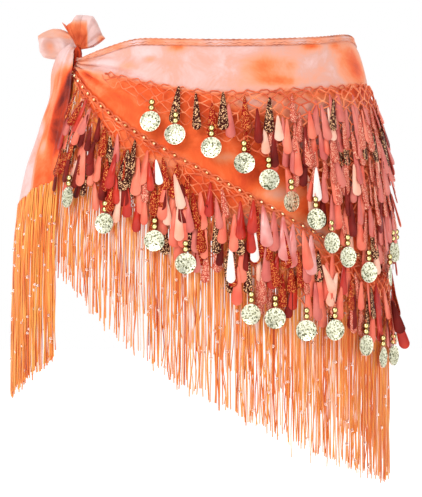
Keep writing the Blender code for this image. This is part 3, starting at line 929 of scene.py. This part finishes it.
def net_paths(kind):
    """Arcs of chain that hang from the lowest points of the arcs above them, and their thickness."""
    first, last = tier_span(kind)
    nodes = spaced("net" if kind == "upper" else "braid", first, last, CELL_WIDTH / 2, 2.0)
    top = np.linspace(nodes[0], nodes[-1], 6 * len(nodes))
    wander = 1.3 * np.sin(np.radians(top) * 61) + 0.5 * np.sin(np.radians(top) * 143)
    paths, swells = [], []
    for rise in (0.0, 2.4):
        paths.append(hips(top, tier_top(kind, top) + rise + wander * (1 if rise else -1), 2.2 + 0 * top))
        swells.append(0.75 + 0 * top)
    rows = int(np.max(tier_hem(kind, nodes) - tier_top(kind, nodes)) / CELL_HEIGHT) + 1
    size = (rows + 1, len(nodes))
    across = nodes + net_chance.normal(0, PULLED_ACROSS, size)
    down = CELL_HEIGHT * np.arange(rows + 1)[:, None] + net_chance.normal(0, PULLED_DOWN, size)
    s = np.linspace(0, 1, STEPS_AN_ARC + 1)
    hump = 0.5 - 0.5 * np.cos(2 * np.pi * s)
    for row in range(rows):
        for n in range(row % 2, len(nodes) - 2, 2):
            ends = [values[row, n] + (values[row, n + 2] - values[row, n]) * s for values in (across, down)]
            lows = [values[row + 1, n + 1] - np.mean(values[row, [n, n + 2]]) for values in (across, down)]
            angle = ends[0] + lows[0] * hump
            drop = tier_top(kind, angle) + 2 + ends[1] + lows[1] * hump
            if drop[0] > tier_hem(kind, angle[0]) - 7:
                continue
            behind = BEHIND_SEQUINS * ease(drop - tier_top(kind, angle), 14, 32)
            out = tier_out(kind, angle, drop) + NET_FORWARD[kind] - behind + net_chance.uniform(-0.6, 0.6)
            paths.append(hips(angle, drop, out))
            swells.append(NET_THIN + (NET_THICK - NET_THIN) * ease(share_of(angle), 0.5, 0.72))
    return paths, swells


for kind in ("upper", "lower"):
    paths, swells = net_paths(kind)
    net = yarns("net_" + kind + "_yarns", paths, 0.8, swell=swells)
    finish_piece(net, crochet_yarn, "sequined_net", "net_" + kind)

# %% [markdown]
# ## The sequins
#
# The sequins are long teardrops, stamped from film and hung from the net by their narrow ends. Each
# is a circle whose points are drawn out into a teardrop and given a thin, slightly hollow face, so
# that neighbours catch the light differently. A table places the large ones that show in front, by
# how far across the front each hangs. The rest hang in rows, each row over the top of the one
# below, and every one is turned, tipped and leaned by its own small amount.

# %% One teardrop
SEQUIN_LENGTH = 33.0
SEQUIN_HALF_WIDTH = 4.9
ROUND_END = 0.15
TIP_HALF = 0.14
HOLLOW, FILM = 0.12, 0.3


def teardrop():
    """A teardrop of unit size: x is across, y is out and z runs from 0 at its hole down to -1."""
    shape = bmesh.new()
    bmesh.ops.create_circle(shape, segments=18, radius=1, cap_ends=True)
    for vert in shape.verts:
        x, up = vert.co.x, vert.co.y
        if up > 0:
            x = math.copysign((1 - up) ** 0.85 + TIP_HALF * up, x) if abs(x) > 0.01 else 0
            vert.co = (x, 0, (1 - ROUND_END) * (up - 1))
        else:
            vert.co = (x, 0, ROUND_END * (1 + up) - 1)
    bmesh.ops.inset_region(shape, faces=shape.faces[:], thickness=0.16, depth=0)
    hollow = max(shape.faces, key=lambda face: face.calc_area())
    bmesh.ops.translate(shape, vec=(0, HOLLOW, 0), verts=hollow.verts)
    back = bmesh.ops.extrude_face_region(shape, geom=shape.faces[:])
    moved = [item for item in back["geom"] if isinstance(item, bmesh.types.BMVert)]
    bmesh.ops.translate(shape, vec=(0, -FILM, 0), verts=moved)
    bmesh.ops.recalc_face_normals(shape, faces=shape.faces)
    return shape


# %% The large ones in front
LARGE_OUT, LARGE_TIP, LARGE_PROUD = 2.2, 3, 7
# Sequins with the white finish are painted highlights, where sequins glare with light.
LARGE_SEQUINS = {
    "upper": table(
        "across drop length width lean finish",
        (-36, 52, 40, 11, 4, "dark_glitter"),
        (-19, 59, 39, 9, -3, "dark_glitter"),
        (-3, 69, 36, 11, 0, "red_glitter"),
        (8, 58, 40, 11, 1, "dark_glitter"),
        (13, 70, 35, 10, -3, "brick"),
        (29, 62, 36, 10, 0, "red_glitter"),
        (30, 91, 29, 10, 0, "red_glitter"),
        (41, 74, 36, 9, 0, "maroon"),
        (54, 63, 37, 11, 6, "dark_glitter"),
        (48, 93, 27, 9, 0, "pale_orange"),
        (57, 99, 34, 9, 2, "maroon"),
        (70, 84, 36, 9, 3, "coral"),
        (61, 81, 26, 10, 0, "pale_orange"),
        (79, 105, 36, 9, 0, "coral"),
        (88, 90, 42, 9, 3, "maroon"),
        (98, 131, 34, 10, 2, "white"),
        (114, 58, 38, 9, 0, "brick"),
        (136, 127, 32, 12, 0, "pale_orange"),
    ),
    "lower": table(
        "across drop length width lean finish",
        (-140, 50, 34, 7, 12, "red_glitter"),
        (-146, 78, 36, 8, 10, "crimson"),
        (-151, 106, 34, 8, 6, "red_glitter"),
        (-129, 62, 36, 8, 14, "crimson"),
        (-136, 88, 36, 8, 10, "red_glitter"),
        (-142, 112, 34, 8, 6, "maroon"),
        (-126, 78, 34, 7, 8, "maroon"),
        (-156, 130, 24, 6, 0, "maroon"),
        (-133, 118, 34, 9, 4, "maroon"),
        (-128, 106, 44, 12, 0, "coral"),
        (-120, 106, 34, 10, 0, "maroon"),
        (-114, 148, 34, 9, -14, "crimson"),
        (-105, 144, 38, 13, 2, "copper_glitter"),
        (-97, 138, 30, 8, -6, "crimson"),
        (-91, 128, 27, 11, -8, "dark_glitter"),
        (-85, 114, 32, 13, 5, "dark_glitter"),
        (-65, 126, 30, 8, -8, "crimson"),
        (-58, 124, 26, 8, -12, "white"),
        (-48, 142, 42, 10, 4, "coral"),
        (-40, 138, 36, 10, -14, "pale_orange"),
        (-29, 168, 42, 10, 3, "coral"),
        (15, 206, 38, 9, 0, "white"),
        (38, 190, 34, 9, 0, "white"),
        (38, 163, 34, 11, 5, "crimson"),
        (47, 168, 42, 13, -4, "pearl"),
        (58, 174, 40, 12, 3, "brick"),
        (67, 179, 44, 14, 0, "pearl"),
        (77, 186, 44, 13, 6, "pearl"),
        (87, 192, 40, 12, -5, "coral"),
        (95, 197, 40, 13, 4, "pearl"),
        (105, 226, 30, 10, -22, "pale_orange"),
        (169, 296, 34, 11, 6, "pale_orange"),
    ),
}

# %% Where the rest hang
ROW_STEP = 21.0
NEAR_COIN = 0.015
sequin_chance = np.random.default_rng(11)
UPPER_MIX = dict(
    dark_glitter=0.07, copper_glitter=0.32, maroon=0.05, coral=0.14, brick=0.34, pale_orange=0.08
)
LOWER_MIX = dict(
    dark_glitter=0.11, red_glitter=0.2, copper_glitter=0.14, coral=0.25, maroon=0.08, brick=0.1,
    crimson=0.09, pale_orange=0.03,
)
UPPER_FIRST_ANGLE, UPPER_LAST_SHARE = 107.0, 0.42
BY_KNOT, BY_KNOT_WIDE, BY_KNOT_LEAN = 0.19, 0.07, 24
SIDE_ANGLE, SIDE_WIDE, SIDE_TIP = 182, 16, 8
Hung = namedtuple("Hung", "finish tier angle drop out length width turn lean tip")
hung = []
for tier, rows in LARGE_SEQUINS.items():
    for row in rows:
        wide = float(read(HIPS, "drop", "half_width", row.drop)) + LARGE_PROUD
        angle = math.degrees(math.acos(-min(row.across / wide, 0.99)))
        shape = row.length, row.width, 0, row.lean, LARGE_TIP
        hung.append(Hung(row.finish, tier, angle, row.drop, LARGE_OUT, *shape))


def hang(kind, first, pitch_left, pitch_right, crowd, mix):
    """Choose a finish, place, turn and lean for each of a tier's small sequins."""
    fine = np.linspace(first, tier_span(kind)[1], 3000)
    reach = hips(fine, tier_hem(kind, fine), 5 + 0 * fine)
    step = np.r_[0, np.linalg.norm(np.diff(reach, axis=0), axis=1)] / MM
    density = np.cumsum(step / (pitch_left + (pitch_right - pitch_left) * ease(share_of(fine), *crowd)))
    for n, angle in enumerate(np.interp(np.arange(0.5, density[-1]), density, fine)):
        here = float(share_of(angle))
        if kind == "upper" and angle > 180 and here < UPPER_LAST_SHARE:
            continue
        length = SEQUIN_LENGTH * (0.8 if kind == "lower" and here < 0.3 else 1)
        lowest = float(tier_hem(kind, angle)) + 4 + ROW_STEP / 2 * (n % 2)
        drop = lowest - length + sequin_chance.uniform(-3, 3)
        while drop > tier_top(kind, angle) + 3:
            finish = sequin_chance.choice(list(mix), p=np.array(list(mix.values())) / sum(mix.values()))
            size = length * sequin_chance.uniform(0.88, 1.2)
            lean = sequin_chance.normal(0, 6)
            if kind == "lower":
                lean += BY_KNOT_LEAN * math.exp(-(((here - BY_KNOT) / BY_KNOT_WIDE) ** 2))
            out = sequin_chance.choice([0.4, 1.3, 2.2])
            side = math.exp(-(((angle - SIDE_ANGLE) / SIDE_WIDE) ** 2))
            turn, tip = sequin_chance.uniform(-22, 22), sequin_chance.uniform(0, 5 + SIDE_TIP * side)
            spread = angle + sequin_chance.uniform(-0.9, 0.9)
            width = 2 * SEQUIN_HALF_WIDTH * size / SEQUIN_LENGTH * sequin_chance.uniform(0.85, 1.1)
            hung.append(Hung(finish, kind, spread, drop, out, size, width, turn, lean, tip))
            drop -= ROW_STEP * sequin_chance.uniform(0.9, 1.15)


FACING_FRONT = ((171, 270, 44, "crimson"), (176, 258, 40, "maroon"), (167, 262, 36, "maroon"))
for angle, drop, length, finish in FACING_FRONT:
    hung.append(Hung(finish, "lower", angle, drop, LARGE_OUT, length, 12, 62, -12, 14))
hang("upper", UPPER_FIRST_ANGLE, 15.0, 8.6, (0.66, 0.92), UPPER_MIX)
hang("lower", tier_span("lower")[0], 8.8, 8.6, (0.45, 0.75), LOWER_MIX)

# %% Join the sequins of each finish
coin_names = [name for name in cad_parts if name.startswith("coin_")]
coin_middles = np.array([np.mean(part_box(name), axis=0) for name in coin_names])
for finish in SEQUIN_FINISHES:
    rows = [row for row in hung if row.finish == finish]
    upper = np.array([row.tier == "upper" for row in rows])
    angle, drop, out, length, width, turn, lean, tip = (
        np.array([getattr(row, column) for row in rows], float)
        for column in ("angle", "drop", "out", "length", "width", "turn", "lean", "tip")
    )
    end = drop + length
    level = np.where(upper, tier_out("upper", angle, drop), tier_out("lower", angle, drop))
    level_end = np.where(upper, tier_out("upper", angle, end), tier_out("lower", angle, end))
    tops, ends = hips(angle, drop, level), hips(angle, end, level_end)
    from_coins = np.linalg.norm((tops + 2 * ends)[:, None] / 3 - coin_middles[None], axis=2)
    near = from_coins.min(axis=1) < NEAR_COIN
    wider = np.linalg.norm(ends[:, :2], axis=1) - np.linalg.norm(tops[:, :2], axis=1)
    flare = np.degrees(np.arctan2(wider, length * MM))
    places = hips(angle, drop, level + np.where(near, -0.6, out))
    turned, tipped = np.where(near, 0.2, 1) * turn, flare + np.where(near, 0, tip)
    axes = upright(outward_at(angle, drop), turned, lean, tipped)
    piece_sizes = np.stack([width / 2, 2.2 + 0 * width, length], 1) * MM
    piece = repeat("sequins_" + finish, teardrop(), places, axes, piece_sizes)
    finish_piece(piece, SEQUIN_FINISHES[finish], "sequined_net")
print("sequins:", len(hung))

# %% [markdown]
# ## The coins
#
# The coins are thin stamped discs with a raised rim, a ring of dots and a plain rosette, and two
# gold beads above each. Every coin takes its place, its lean and its turn from its own solid: the
# solid's longest direction is the line that it hangs along, and its flattest is the coin's face.

# %% One coin
COIN_RADIUS = 10.2
COIN_DOTS = 22
PETALS = 8
COIN_BEAD_RADIUS, COIN_BEAD_RISES = 3.0, (3.6, 9.2)


def coin_shape():
    """A coin of unit radius that faces +y, with its relief."""
    shape = bmesh.new()
    bmesh.ops.create_circle(shape, segments=44, radius=1, cap_ends=True)
    bmesh.ops.recalc_face_normals(shape, faces=shape.faces)
    back = bmesh.ops.extrude_face_region(shape, geom=shape.faces[:])
    moved = [item for item in back["geom"] if isinstance(item, bmesh.types.BMVert)]
    bmesh.ops.translate(shape, vec=(0, 0, 0.09), verts=moved)
    top = max(shape.faces, key=lambda f: f.calc_center_median().z if len(f.verts) > 4 else -1)
    bmesh.ops.inset_region(shape, faces=[top], thickness=0.035, depth=0)
    bmesh.ops.inset_region(shape, faces=[top], thickness=0.05, depth=0)
    bmesh.ops.translate(shape, vec=(0, 0, -0.035), verts=top.verts)
    dots = []
    for n in range(COIN_DOTS):
        turn = 2 * math.pi * n / COIN_DOTS
        dots.append((0.8 * math.cos(turn), 0.8 * math.sin(turn), 0.05, 0.05))
    for n in range(PETALS):
        turn = 2 * math.pi * n / PETALS
        for reach, size in ((0.24, 0.09), (0.42, 0.115), (0.6, 0.075)):
            bent = turn + 0.25 * reach
            dots.append((reach * math.cos(bent), reach * math.sin(bent), size, 0.06))
    dots.append((0, 0, 0.13, 0.07))
    for x, y, wide, tall in dots:
        dot = bmesh.ops.create_icosphere(shape, subdivisions=1, radius=1)
        bmesh.ops.scale(shape, vec=(wide, wide, tall), verts=dot["verts"])
        bmesh.ops.translate(shape, vec=(x, y, 0.055), verts=dot["verts"])
    facing_y = Matrix.Rotation(math.radians(-90), 3, "X")
    bmesh.ops.rotate(shape, cent=(0, 0, 0), matrix=facing_y, verts=shape.verts)
    bmesh.ops.recalc_face_normals(shape, faces=shape.faces)
    return shape


def coin_frames(nodes):
    """The middle, the three directions and the top of each coin's solid."""
    places, axes, tops = [], [], []
    for node in nodes:
        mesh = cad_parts[node].data
        points = np.unique(np.round([v.co for v in mesh.vertices], 6), axis=0)
        middle = points.mean(axis=0)
        up = np.linalg.svd(points - middle)[2][0]
        up = up * np.sign(up[2])
        height = (points - middle) @ up
        bottom = height.min()
        disc = points[height < bottom + 2 * COIN_RADIUS * MM * 0.95]
        normal = np.linalg.svd(disc - disc.mean(axis=0))[2][2]
        normal -= up * (normal @ up)
        normal /= np.linalg.norm(normal)
        normal *= np.sign(normal[:2] @ middle[:2])
        axis_point = disc.mean(axis=0)
        axis_point = axis_point - up * ((axis_point - middle) @ up - bottom - COIN_RADIUS * MM)
        places.append(axis_point)
        axes.append([np.cross(normal, up) * -1, normal, up])
        tops.append(height.max() - bottom - COIN_RADIUS * MM)
    return np.array(places), np.array(axes), np.array(tops)


# %% Coins, their beads and their threads
for side in ("front", "back"):
    nodes = sorted(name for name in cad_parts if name.startswith("coin_" + side))
    places, axes, tops = coin_frames(nodes)
    whole = np.full((len(nodes), 3), COIN_RADIUS * MM)
    coins = repeat("coins_" + side, coin_shape(), places, axes, whole)
    finish_piece(coins, coin_gold, "coin_gold", *nodes)
    coins.data.set_sharp_from_angle(angle=math.radians(45))
    up = axes[:, 2]
    stack = np.concatenate([places + up * (COIN_RADIUS + rise) * MM for rise in COIN_BEAD_RISES])
    size = np.full((2 * len(nodes), 3), COIN_BEAD_RADIUS * MM)
    pair = repeat("coin_beads_" + side, ball(14, 10), stack, np.concatenate([axes, axes]), size)
    finish_piece(pair, bead_gold, "coin_gold")
    threads = np.stack([places + up * (COIN_RADIUS + rise) * MM for rise in (-1, 15)], 1)
    finish_piece(yarns("coin_threads_" + side, threads, 0.45), crochet_yarn, "sequined_net")

# %% [markdown]
# ## The fringe
#
# The fringe is a thick curtain of glossy yarn, far denser than the solids' strands. Each strand
# hangs plumb from the edge with its own slight drift, so the curtain has gaps and overlaps, and
# ends at its own length. A chain of crochet heads it, and small beads are threaded on some strands.

# %% Fringe strands
FRINGE_LENGTH = 186.0
FRINGE_SHORTER_AT_POINT = 8.0
STRAND_POINTS = 20
STRAND, STRAND_TAPER = 0.72, 0.75
FRINGE_FLUTE = 3.0
fringe_chance = np.random.default_rng(23)


def strands(angles, top, bottom, out_top, out_bottom, spread):
    """Paths that hang from a line to another with drift, an angle and a distance out for each."""
    count = len(angles)
    s = np.linspace(0, 1, STRAND_POINTS)[None]
    sway = fringe_chance.normal(0, spread, (count, 1)) * s**1.5
    waves = fringe_chance.uniform(5, 20, (count, 1))
    start = fringe_chance.uniform(0, 6, (count, 1))
    ripple = fringe_chance.normal(0, 0.36, (count, 1)) * np.sin(waves * s + start)
    angle = angles[:, None] + sway + ripple * s
    drop = top[:, None] + (bottom - top)[:, None] * s
    out = out_top[:, None] + (out_bottom - out_top)[:, None] * s
    bow_out = fringe_chance.normal(0, 0.7, (count, 1))
    out = out + bow_out * np.sin(7 * s + fringe_chance.uniform(0, 6, (count, 1)))
    return hips(angle, drop, out)


def edge_flute(angle):
    return FRINGE_FLUTE * fluted(angle)


def edge_fringe(first, last, pitch):
    angles = spaced("edge", first, last, pitch, 1.0)
    kept = fringe_chance.uniform(0, 1, len(angles)) < 0.76 + 0.24 * ease(share_of(angles), 0.45, 0.75)
    angles = angles[kept] + fringe_chance.normal(0, 0.12, int(kept.sum()))
    top = line("edge", angles) + fringe_chance.uniform(-0.5, 1.5, len(angles))
    length = FRINGE_LENGTH - FRINGE_SHORTER_AT_POINT * share_of(angles)
    length = length + fringe_chance.normal(0, 4.5, len(angles))
    bottom = np.minimum(line("edge", angles) + length, -cad_box[0][2] / MM + 4)
    out = edge_flute(angles) + fringe_chance.uniform(0.1, 1.6, len(angles))
    out_below = 0.6 * out + fringe_chance.uniform(0, 1.4, len(angles))
    return strands(angles, top, bottom, out, out_below, 0.35)


FRINGE_START = 10.0
front_strands = edge_fringe(FRINGE_START, POINT_ANGLE, 1.3)
back_strands = edge_fringe(POINT_ANGLE + 0.5, 360 - FRINGE_START, 1.4)
for side, paths in (("front", front_strands), ("back", back_strands)):
    curtain = yarns("fringe_" + side + "_yarns", paths, STRAND, taper=STRAND_TAPER)
    finish_piece(curtain, fringe_yarn, "fringe_yarn", "fringe_" + side)

# %% Fringe heading and fringe beads
head_angles = spaced("edge", FRINGE_START, 360 - FRINGE_START, 0.8, 1.0)
head_step = np.arange(len(head_angles)) * 0.8 / 5.0
heading = []
for side in (0, 0.5):
    rise = 1.3 * np.sin(2 * np.pi * (head_step + side))
    out = edge_flute(head_angles) + 1.4 + 0.5 * np.cos(2 * np.pi * (head_step + side))
    heading.append(hips(head_angles, line("edge", head_angles) + 0.5 + rise, out))
finish_piece(yarns("fringe_heading", heading, 0.6), crochet_yarn, "fringe_yarn")


def fringe_beads(name, paths, share, radius):
    """Beads threaded on some strands."""
    chosen = fringe_chance.choice(len(paths), int(len(paths) * share), replace=False)
    at = fringe_chance.uniform(0.08, 0.97, len(chosen)) * (STRAND_POINTS - 1)
    low = np.floor(at).astype(int)
    points = paths[chosen, low] + (paths[chosen, low + 1] - paths[chosen, low]) * (at - low)[:, None]
    outward = points * (1, 1, 0)
    outward /= np.linalg.norm(outward, axis=1, keepdims=True)
    sizes = np.full((len(points), 3), radius * MM) * fringe_chance.uniform(0.8, 1.15, (len(points), 1))
    piece = repeat(name, ball(8, 6), points + outward * 0.6 * MM, upright(outward), sizes)
    return finish_piece(piece, clear_bead, "fringe_yarn")


fringe_beads("fringe_beads_front", front_strands, 0.42, 1.7)
fringe_beads("fringe_beads_back", back_strands, 0.3, 1.7)

# %% [markdown]
# ## The knot, the bow and the tail
#
# The ends of the scarf are tied in a half bow. Its loops are soft pouches of two thicknesses with
# pleats that run into the knot, so each is a grid that goes out from the knot, turns and comes back
# behind itself. The tail is the end that hangs down, gathered under the knot and opening into
# folds, with its own fringe.

# %% Knot and bow
KNOT_DROP, THROAT_DROP = 17.0, 8.0
KNOT_HALF_WIDTH, KNOT_HALF_DEPTH, KNOT_HALF_HEIGHT = 5.2, 7.5, 12.5
DISH = (-28.0, 1.0)
KNOT_MIDDLE = hips(np.array([0.0]), np.array([KNOT_DROP]), np.array([4.0]))[0]
THROAT = hips(np.array([0.0]), np.array([THROAT_DROP]), np.array([5.0]))[0]

FANS = table(
    "name node first last outline folds depth lean dish",
    (
        "bow_loop_left_cloth", "bow_loop_left", 201, 120,
        (24, 36, 39.5, 40.5, 43.5, 38.5, 33.5, 27.5, 20),
        (0, 1.5, 0.5, 1.5, 0, -1.0, 1.5, 0, 1), 9, 7, 8.5,
    ),
    (
        "bow_loop_right_cloth", "bow_loop_right", 84, 15,
        (35.2, 35.8, 36.4, 33.6, 30.8, 29, 28, 29, 16),
        (-2, 0, 3.5, 0.5, 2, 3, 1, 3, 0), 8, 1, 0.0,
    ),
    (
        "bow_end_cloth", "bow_end", 121, 84,
        (32, 27, 27.5, 28, 29, 32, 34.5, 35, 35.2),
        (0, -2, 2.5, 0.5, 1, 2, 1.5, 0, -2), 6, -1, 0.0,
    ),
)


def opening(along):
    """How far out of the knot a bow piece is along its way there and back, from 0 to 1."""
    return np.sin(np.pi * along) ** 0.7


def fan_plan(fan, across, along):
    """Where a bow piece's points lie to the right of the throat and above it, in millimetres."""
    turn = np.radians(fan.first + (fan.last - fan.first) * across)
    reach = np.interp(across, np.linspace(0, 1, len(fan.outline)), fan.outline) * 1.02
    radius = 3 + (reach - 3) * opening(along)
    return np.cos(turn) * radius, np.sin(turn) * radius


def patch(right, up, middle, size):
    return np.exp(-((right - middle[0]) ** 2 + (up - middle[1]) ** 2) / size**2)


def fan_shape(fan):
    def shape(across, along):
        right, up = fan_plan(fan, across, along)
        crumple = 0.9 * np.sin(9 * across + 5 * along) * np.sin(13 * along + 3 * across)
        folds = np.interp(across, np.linspace(0, 1, len(fan.folds)), fan.folds) + crumple
        depth = -fan.depth * np.sin(2 * np.pi * along) - 2.0 * np.cos(np.pi * along)
        depth += (fan.lean - folds) * opening(along)
        bowl = np.hypot(right - DISH[0], up - DISH[1])
        rim = np.exp(-((bowl / 9.5) ** 2)) - 0.35 * np.exp(-(((bowl - 13) / 3) ** 2))
        depth += fan.dish * rim * (1 - ease(along, 0.42, 0.5))
        return THROAT + np.stack([right, depth, up], -1) * MM

    return shape


def left_loop_dye(right, up):
    dye_and_shade = 0.04 + 0.34 * patch(right, up, (-30, 5), 5) + 0.22 * patch(right, up, (-28, -4), 7)
    return dye_and_shade + 0.3 * ease(up, 10, 13.5) + 0.22 * patch(right, up, (-12, 12), 5)


def bow_dye_and_shade(right, up):
    """Red and orange near the throat with a painted shade of darker red in the fold there, pale pink at the
    top and the right, and an orange corner.
    """
    orange = 0.8 * (1 - ease(right, 8, 10.5)) * (1 - ease(up, 24, 33) * ease(right, -12, -5))
    # Painted shade: two patches darken the shaded fold by the throat.
    throat_fold_shade = 0.16 * patch(right, up, (1.5, 13), 6) + 0.14 * patch(right, up, (6, 8), 4)
    return 0.02 + orange + throat_fold_shade + 0.62 * patch(right, up, (25, 10), 5)


for fan in FANS:
    dye_and_shade = left_loop_dye if fan.dish else bow_dye_and_shade
    bow = cloth(fan.name, 48, 56, fan_shape(fan), lambda u, v: dye_and_shade(*fan_plan(fan, u, v)), 0.4)
    finish_piece(bow, sheer_chiffon, "chiffon", fan.node)

shape = ball(40, 24)
for vert in shape.verts:
    turn = math.atan2(vert.co.z, vert.co.y)
    swell = 1 + 0.10 * math.sin(5 * turn + 3 * vert.co.x) + 0.05 * math.sin(11 * turn - 4 * vert.co.x)
    x, y, z = vert.co
    vert.co = (x * KNOT_HALF_WIDTH * swell, y * KNOT_HALF_DEPTH, z * KNOT_HALF_HEIGHT * swell)
knot_lean = Matrix.Rotation(math.radians(12), 3, "Y")
bmesh.ops.rotate(shape, cent=(0, 0, 0), matrix=knot_lean, verts=shape.verts)
bmesh.ops.scale(shape, vec=(MM, MM, MM), verts=shape.verts)
bmesh.ops.translate(shape, vec=KNOT_MIDDLE, verts=shape.verts)
knot_dye_and_shade = shape.verts.layers.float.new("dye_and_shade")
# Painted shade: the knot is coloured past full orange, in the dark red of shaded gathered cloth, with stripes
# round it that vary the shade.
for vert in shape.verts:
    vert[knot_dye_and_shade] = 1.06 + 0.12 * math.sin(9 * math.atan2(vert.co.y, vert.co.x - KNOT_MIDDLE[0]))
finish_piece(from_shape("knot_cloth", shape), chiffon, "chiffon", "knot")

# %% Tail cloth
TAIL = table(
    "down inner_drop outer_drop inner_angle outer_angle inner_out outer_out",
    (0.0, 8, 2, 8, 4, 8.5, 16),
    (0.05, 14, 10, 17, 4, 8.0, 22),
    (0.1, 20, 20, 20, 1, 7.5, 24.4),
    (0.18, 32, 33.5, 22, -2, 6.5, 24.7),
    (0.3, 52, 55, 25, -4, 6.0, 21),
    (0.42, 74, 74, 25.5, -4, 5.5, 20.7),
    (0.6, 98, 103, 25, -4, 5.0, 20.8),
    (0.8, 120, 130, 25, -4.5, 5.5, 25.5),
    (1.0, 139, 168, 26.5, -5, 6.0, 30),
)
TAIL_FOLDS = (0.0, -0.5, 0.0, 4.5, 6.0, 3.5, 2.5, 4.5, 3.0, 1.5, 0.5)


def tail_line(across, down):
    """The angle, drop and distance out of the tail's points."""
    inner, outer = (
        [read(TAIL, "down", side + name, down) for name in ("_drop", "_angle", "_out")]
        for side in ("inner", "outer")
    )
    drop = inner[0] + (outer[0] - inner[0]) * across
    angle = inner[1] + (outer[1] - inner[1]) * across
    stand = inner[2] + (outer[2] - inner[2]) * across**1.5
    open_share = 0.35 + 0.65 * ease(down, 0.02, 0.45)
    fold_at = np.linspace(0, 1, len(TAIL_FOLDS))
    pleats = np.interp(across + 0.03 * np.sin(5 * down), fold_at, TAIL_FOLDS)
    pleats = pleats + 0.5 * np.sin(14 * np.pi * across + 3 * down)
    return angle, drop, stand + pleats * open_share


def cloud(across, down, middle, height, wide, tall):
    return np.exp(-(((across - middle) / wide) ** 2 + ((down - height) / tall) ** 2))


# How far the pale outer side and the painted shade of the inner fold reach across the tail at each share
# down.
TAIL_SIDES = table(
    "down pale dark",
    (0.14, 0.62, 0.12),
    (0.20, 0.70, 0.20),
    (0.30, 0.76, 0.26),
    (0.42, 0.74, 0.29),
    (0.50, 0.60, 0.28),
    (0.60, 0.60, 0.25),
    (0.72, 0.60, 0.19),
    (0.85, 0.55, 0.12),
    (1.00, 0.50, 0.0),
)
FOLD_SHADE_RED = 1.22


def tail_dye_and_shade(across, down):
    """Pale by the knot and on the outer side, orange in the middle, and a painted shade of dark red in the
    inner fold.
    """
    pale = read(TAIL_SIDES, "down", "pale", down)
    dark = read(TAIL_SIDES, "down", "dark", down)
    dye_and_shade = 0.06 + 0.6 * ease(down, 0.1, 0.19) + 0.12 * ease(0.45 - across, 0, 0.2)
    dye_and_shade -= 0.34 * cloud(across, down, 0.36, 0.67, 0.08, 0.06)
    dye_and_shade -= 0.28 * cloud(across, down, 0.18, 0.66, 0.035, 0.05)
    dye_and_shade += 0.06 * np.sin(26 * across + 4 * down)
    dye_and_shade *= 1 - (0.5 + 0.42 * ease(down, 0.42, 0.52)) * ease(across - pale, -0.08, 0.08)
    # Painted shade: the inner fold, turned away from the light, is coloured dark red.
    fold_shade = ease(dark - across, -0.07, 0.08) * ease(down, 0.12, 0.22) * (1 - ease(down, 0.6, 0.85))
    return np.clip(dye_and_shade + (FOLD_SHADE_RED - dye_and_shade) * fold_shade, 0.03, 1.2)


tail = cloth("tail", 70, 60, lambda u, v: hips(*tail_line(u, v)), tail_dye_and_shade, 0.4)
finish_piece(tail, chiffon, "chiffon", "tail_cloth")

# %% Tail fringe
tail_count = 150
tail_across = np.linspace(0.0, 1.0, tail_count) + fringe_chance.normal(0, 0.004, tail_count)
top_angle, top_drop, top_out = tail_line(np.clip(tail_across, 0, 1), np.ones(tail_count))
tail_length = FRINGE_LENGTH + 6 - 14 * (1 - tail_across) ** 2 + fringe_chance.normal(0, 3, tail_count)
tail_strands = strands(
    top_angle,
    top_drop + fringe_chance.uniform(-1, 1, tail_count),
    top_drop + tail_length,
    top_out + fringe_chance.uniform(-0.8, 0.8, tail_count),
    top_out + 5 * tail_across + fringe_chance.uniform(-2, 2, tail_count),
    0.4,
)
tail_curtain = yarns("fringe_tail_yarns", tail_strands, STRAND, taper=STRAND_TAPER)
finish_piece(tail_curtain, tail_yarn, "fringe_yarn", "fringe_tail")
fringe_beads("fringe_beads_tail", tail_strands, 0.45, 1.7)
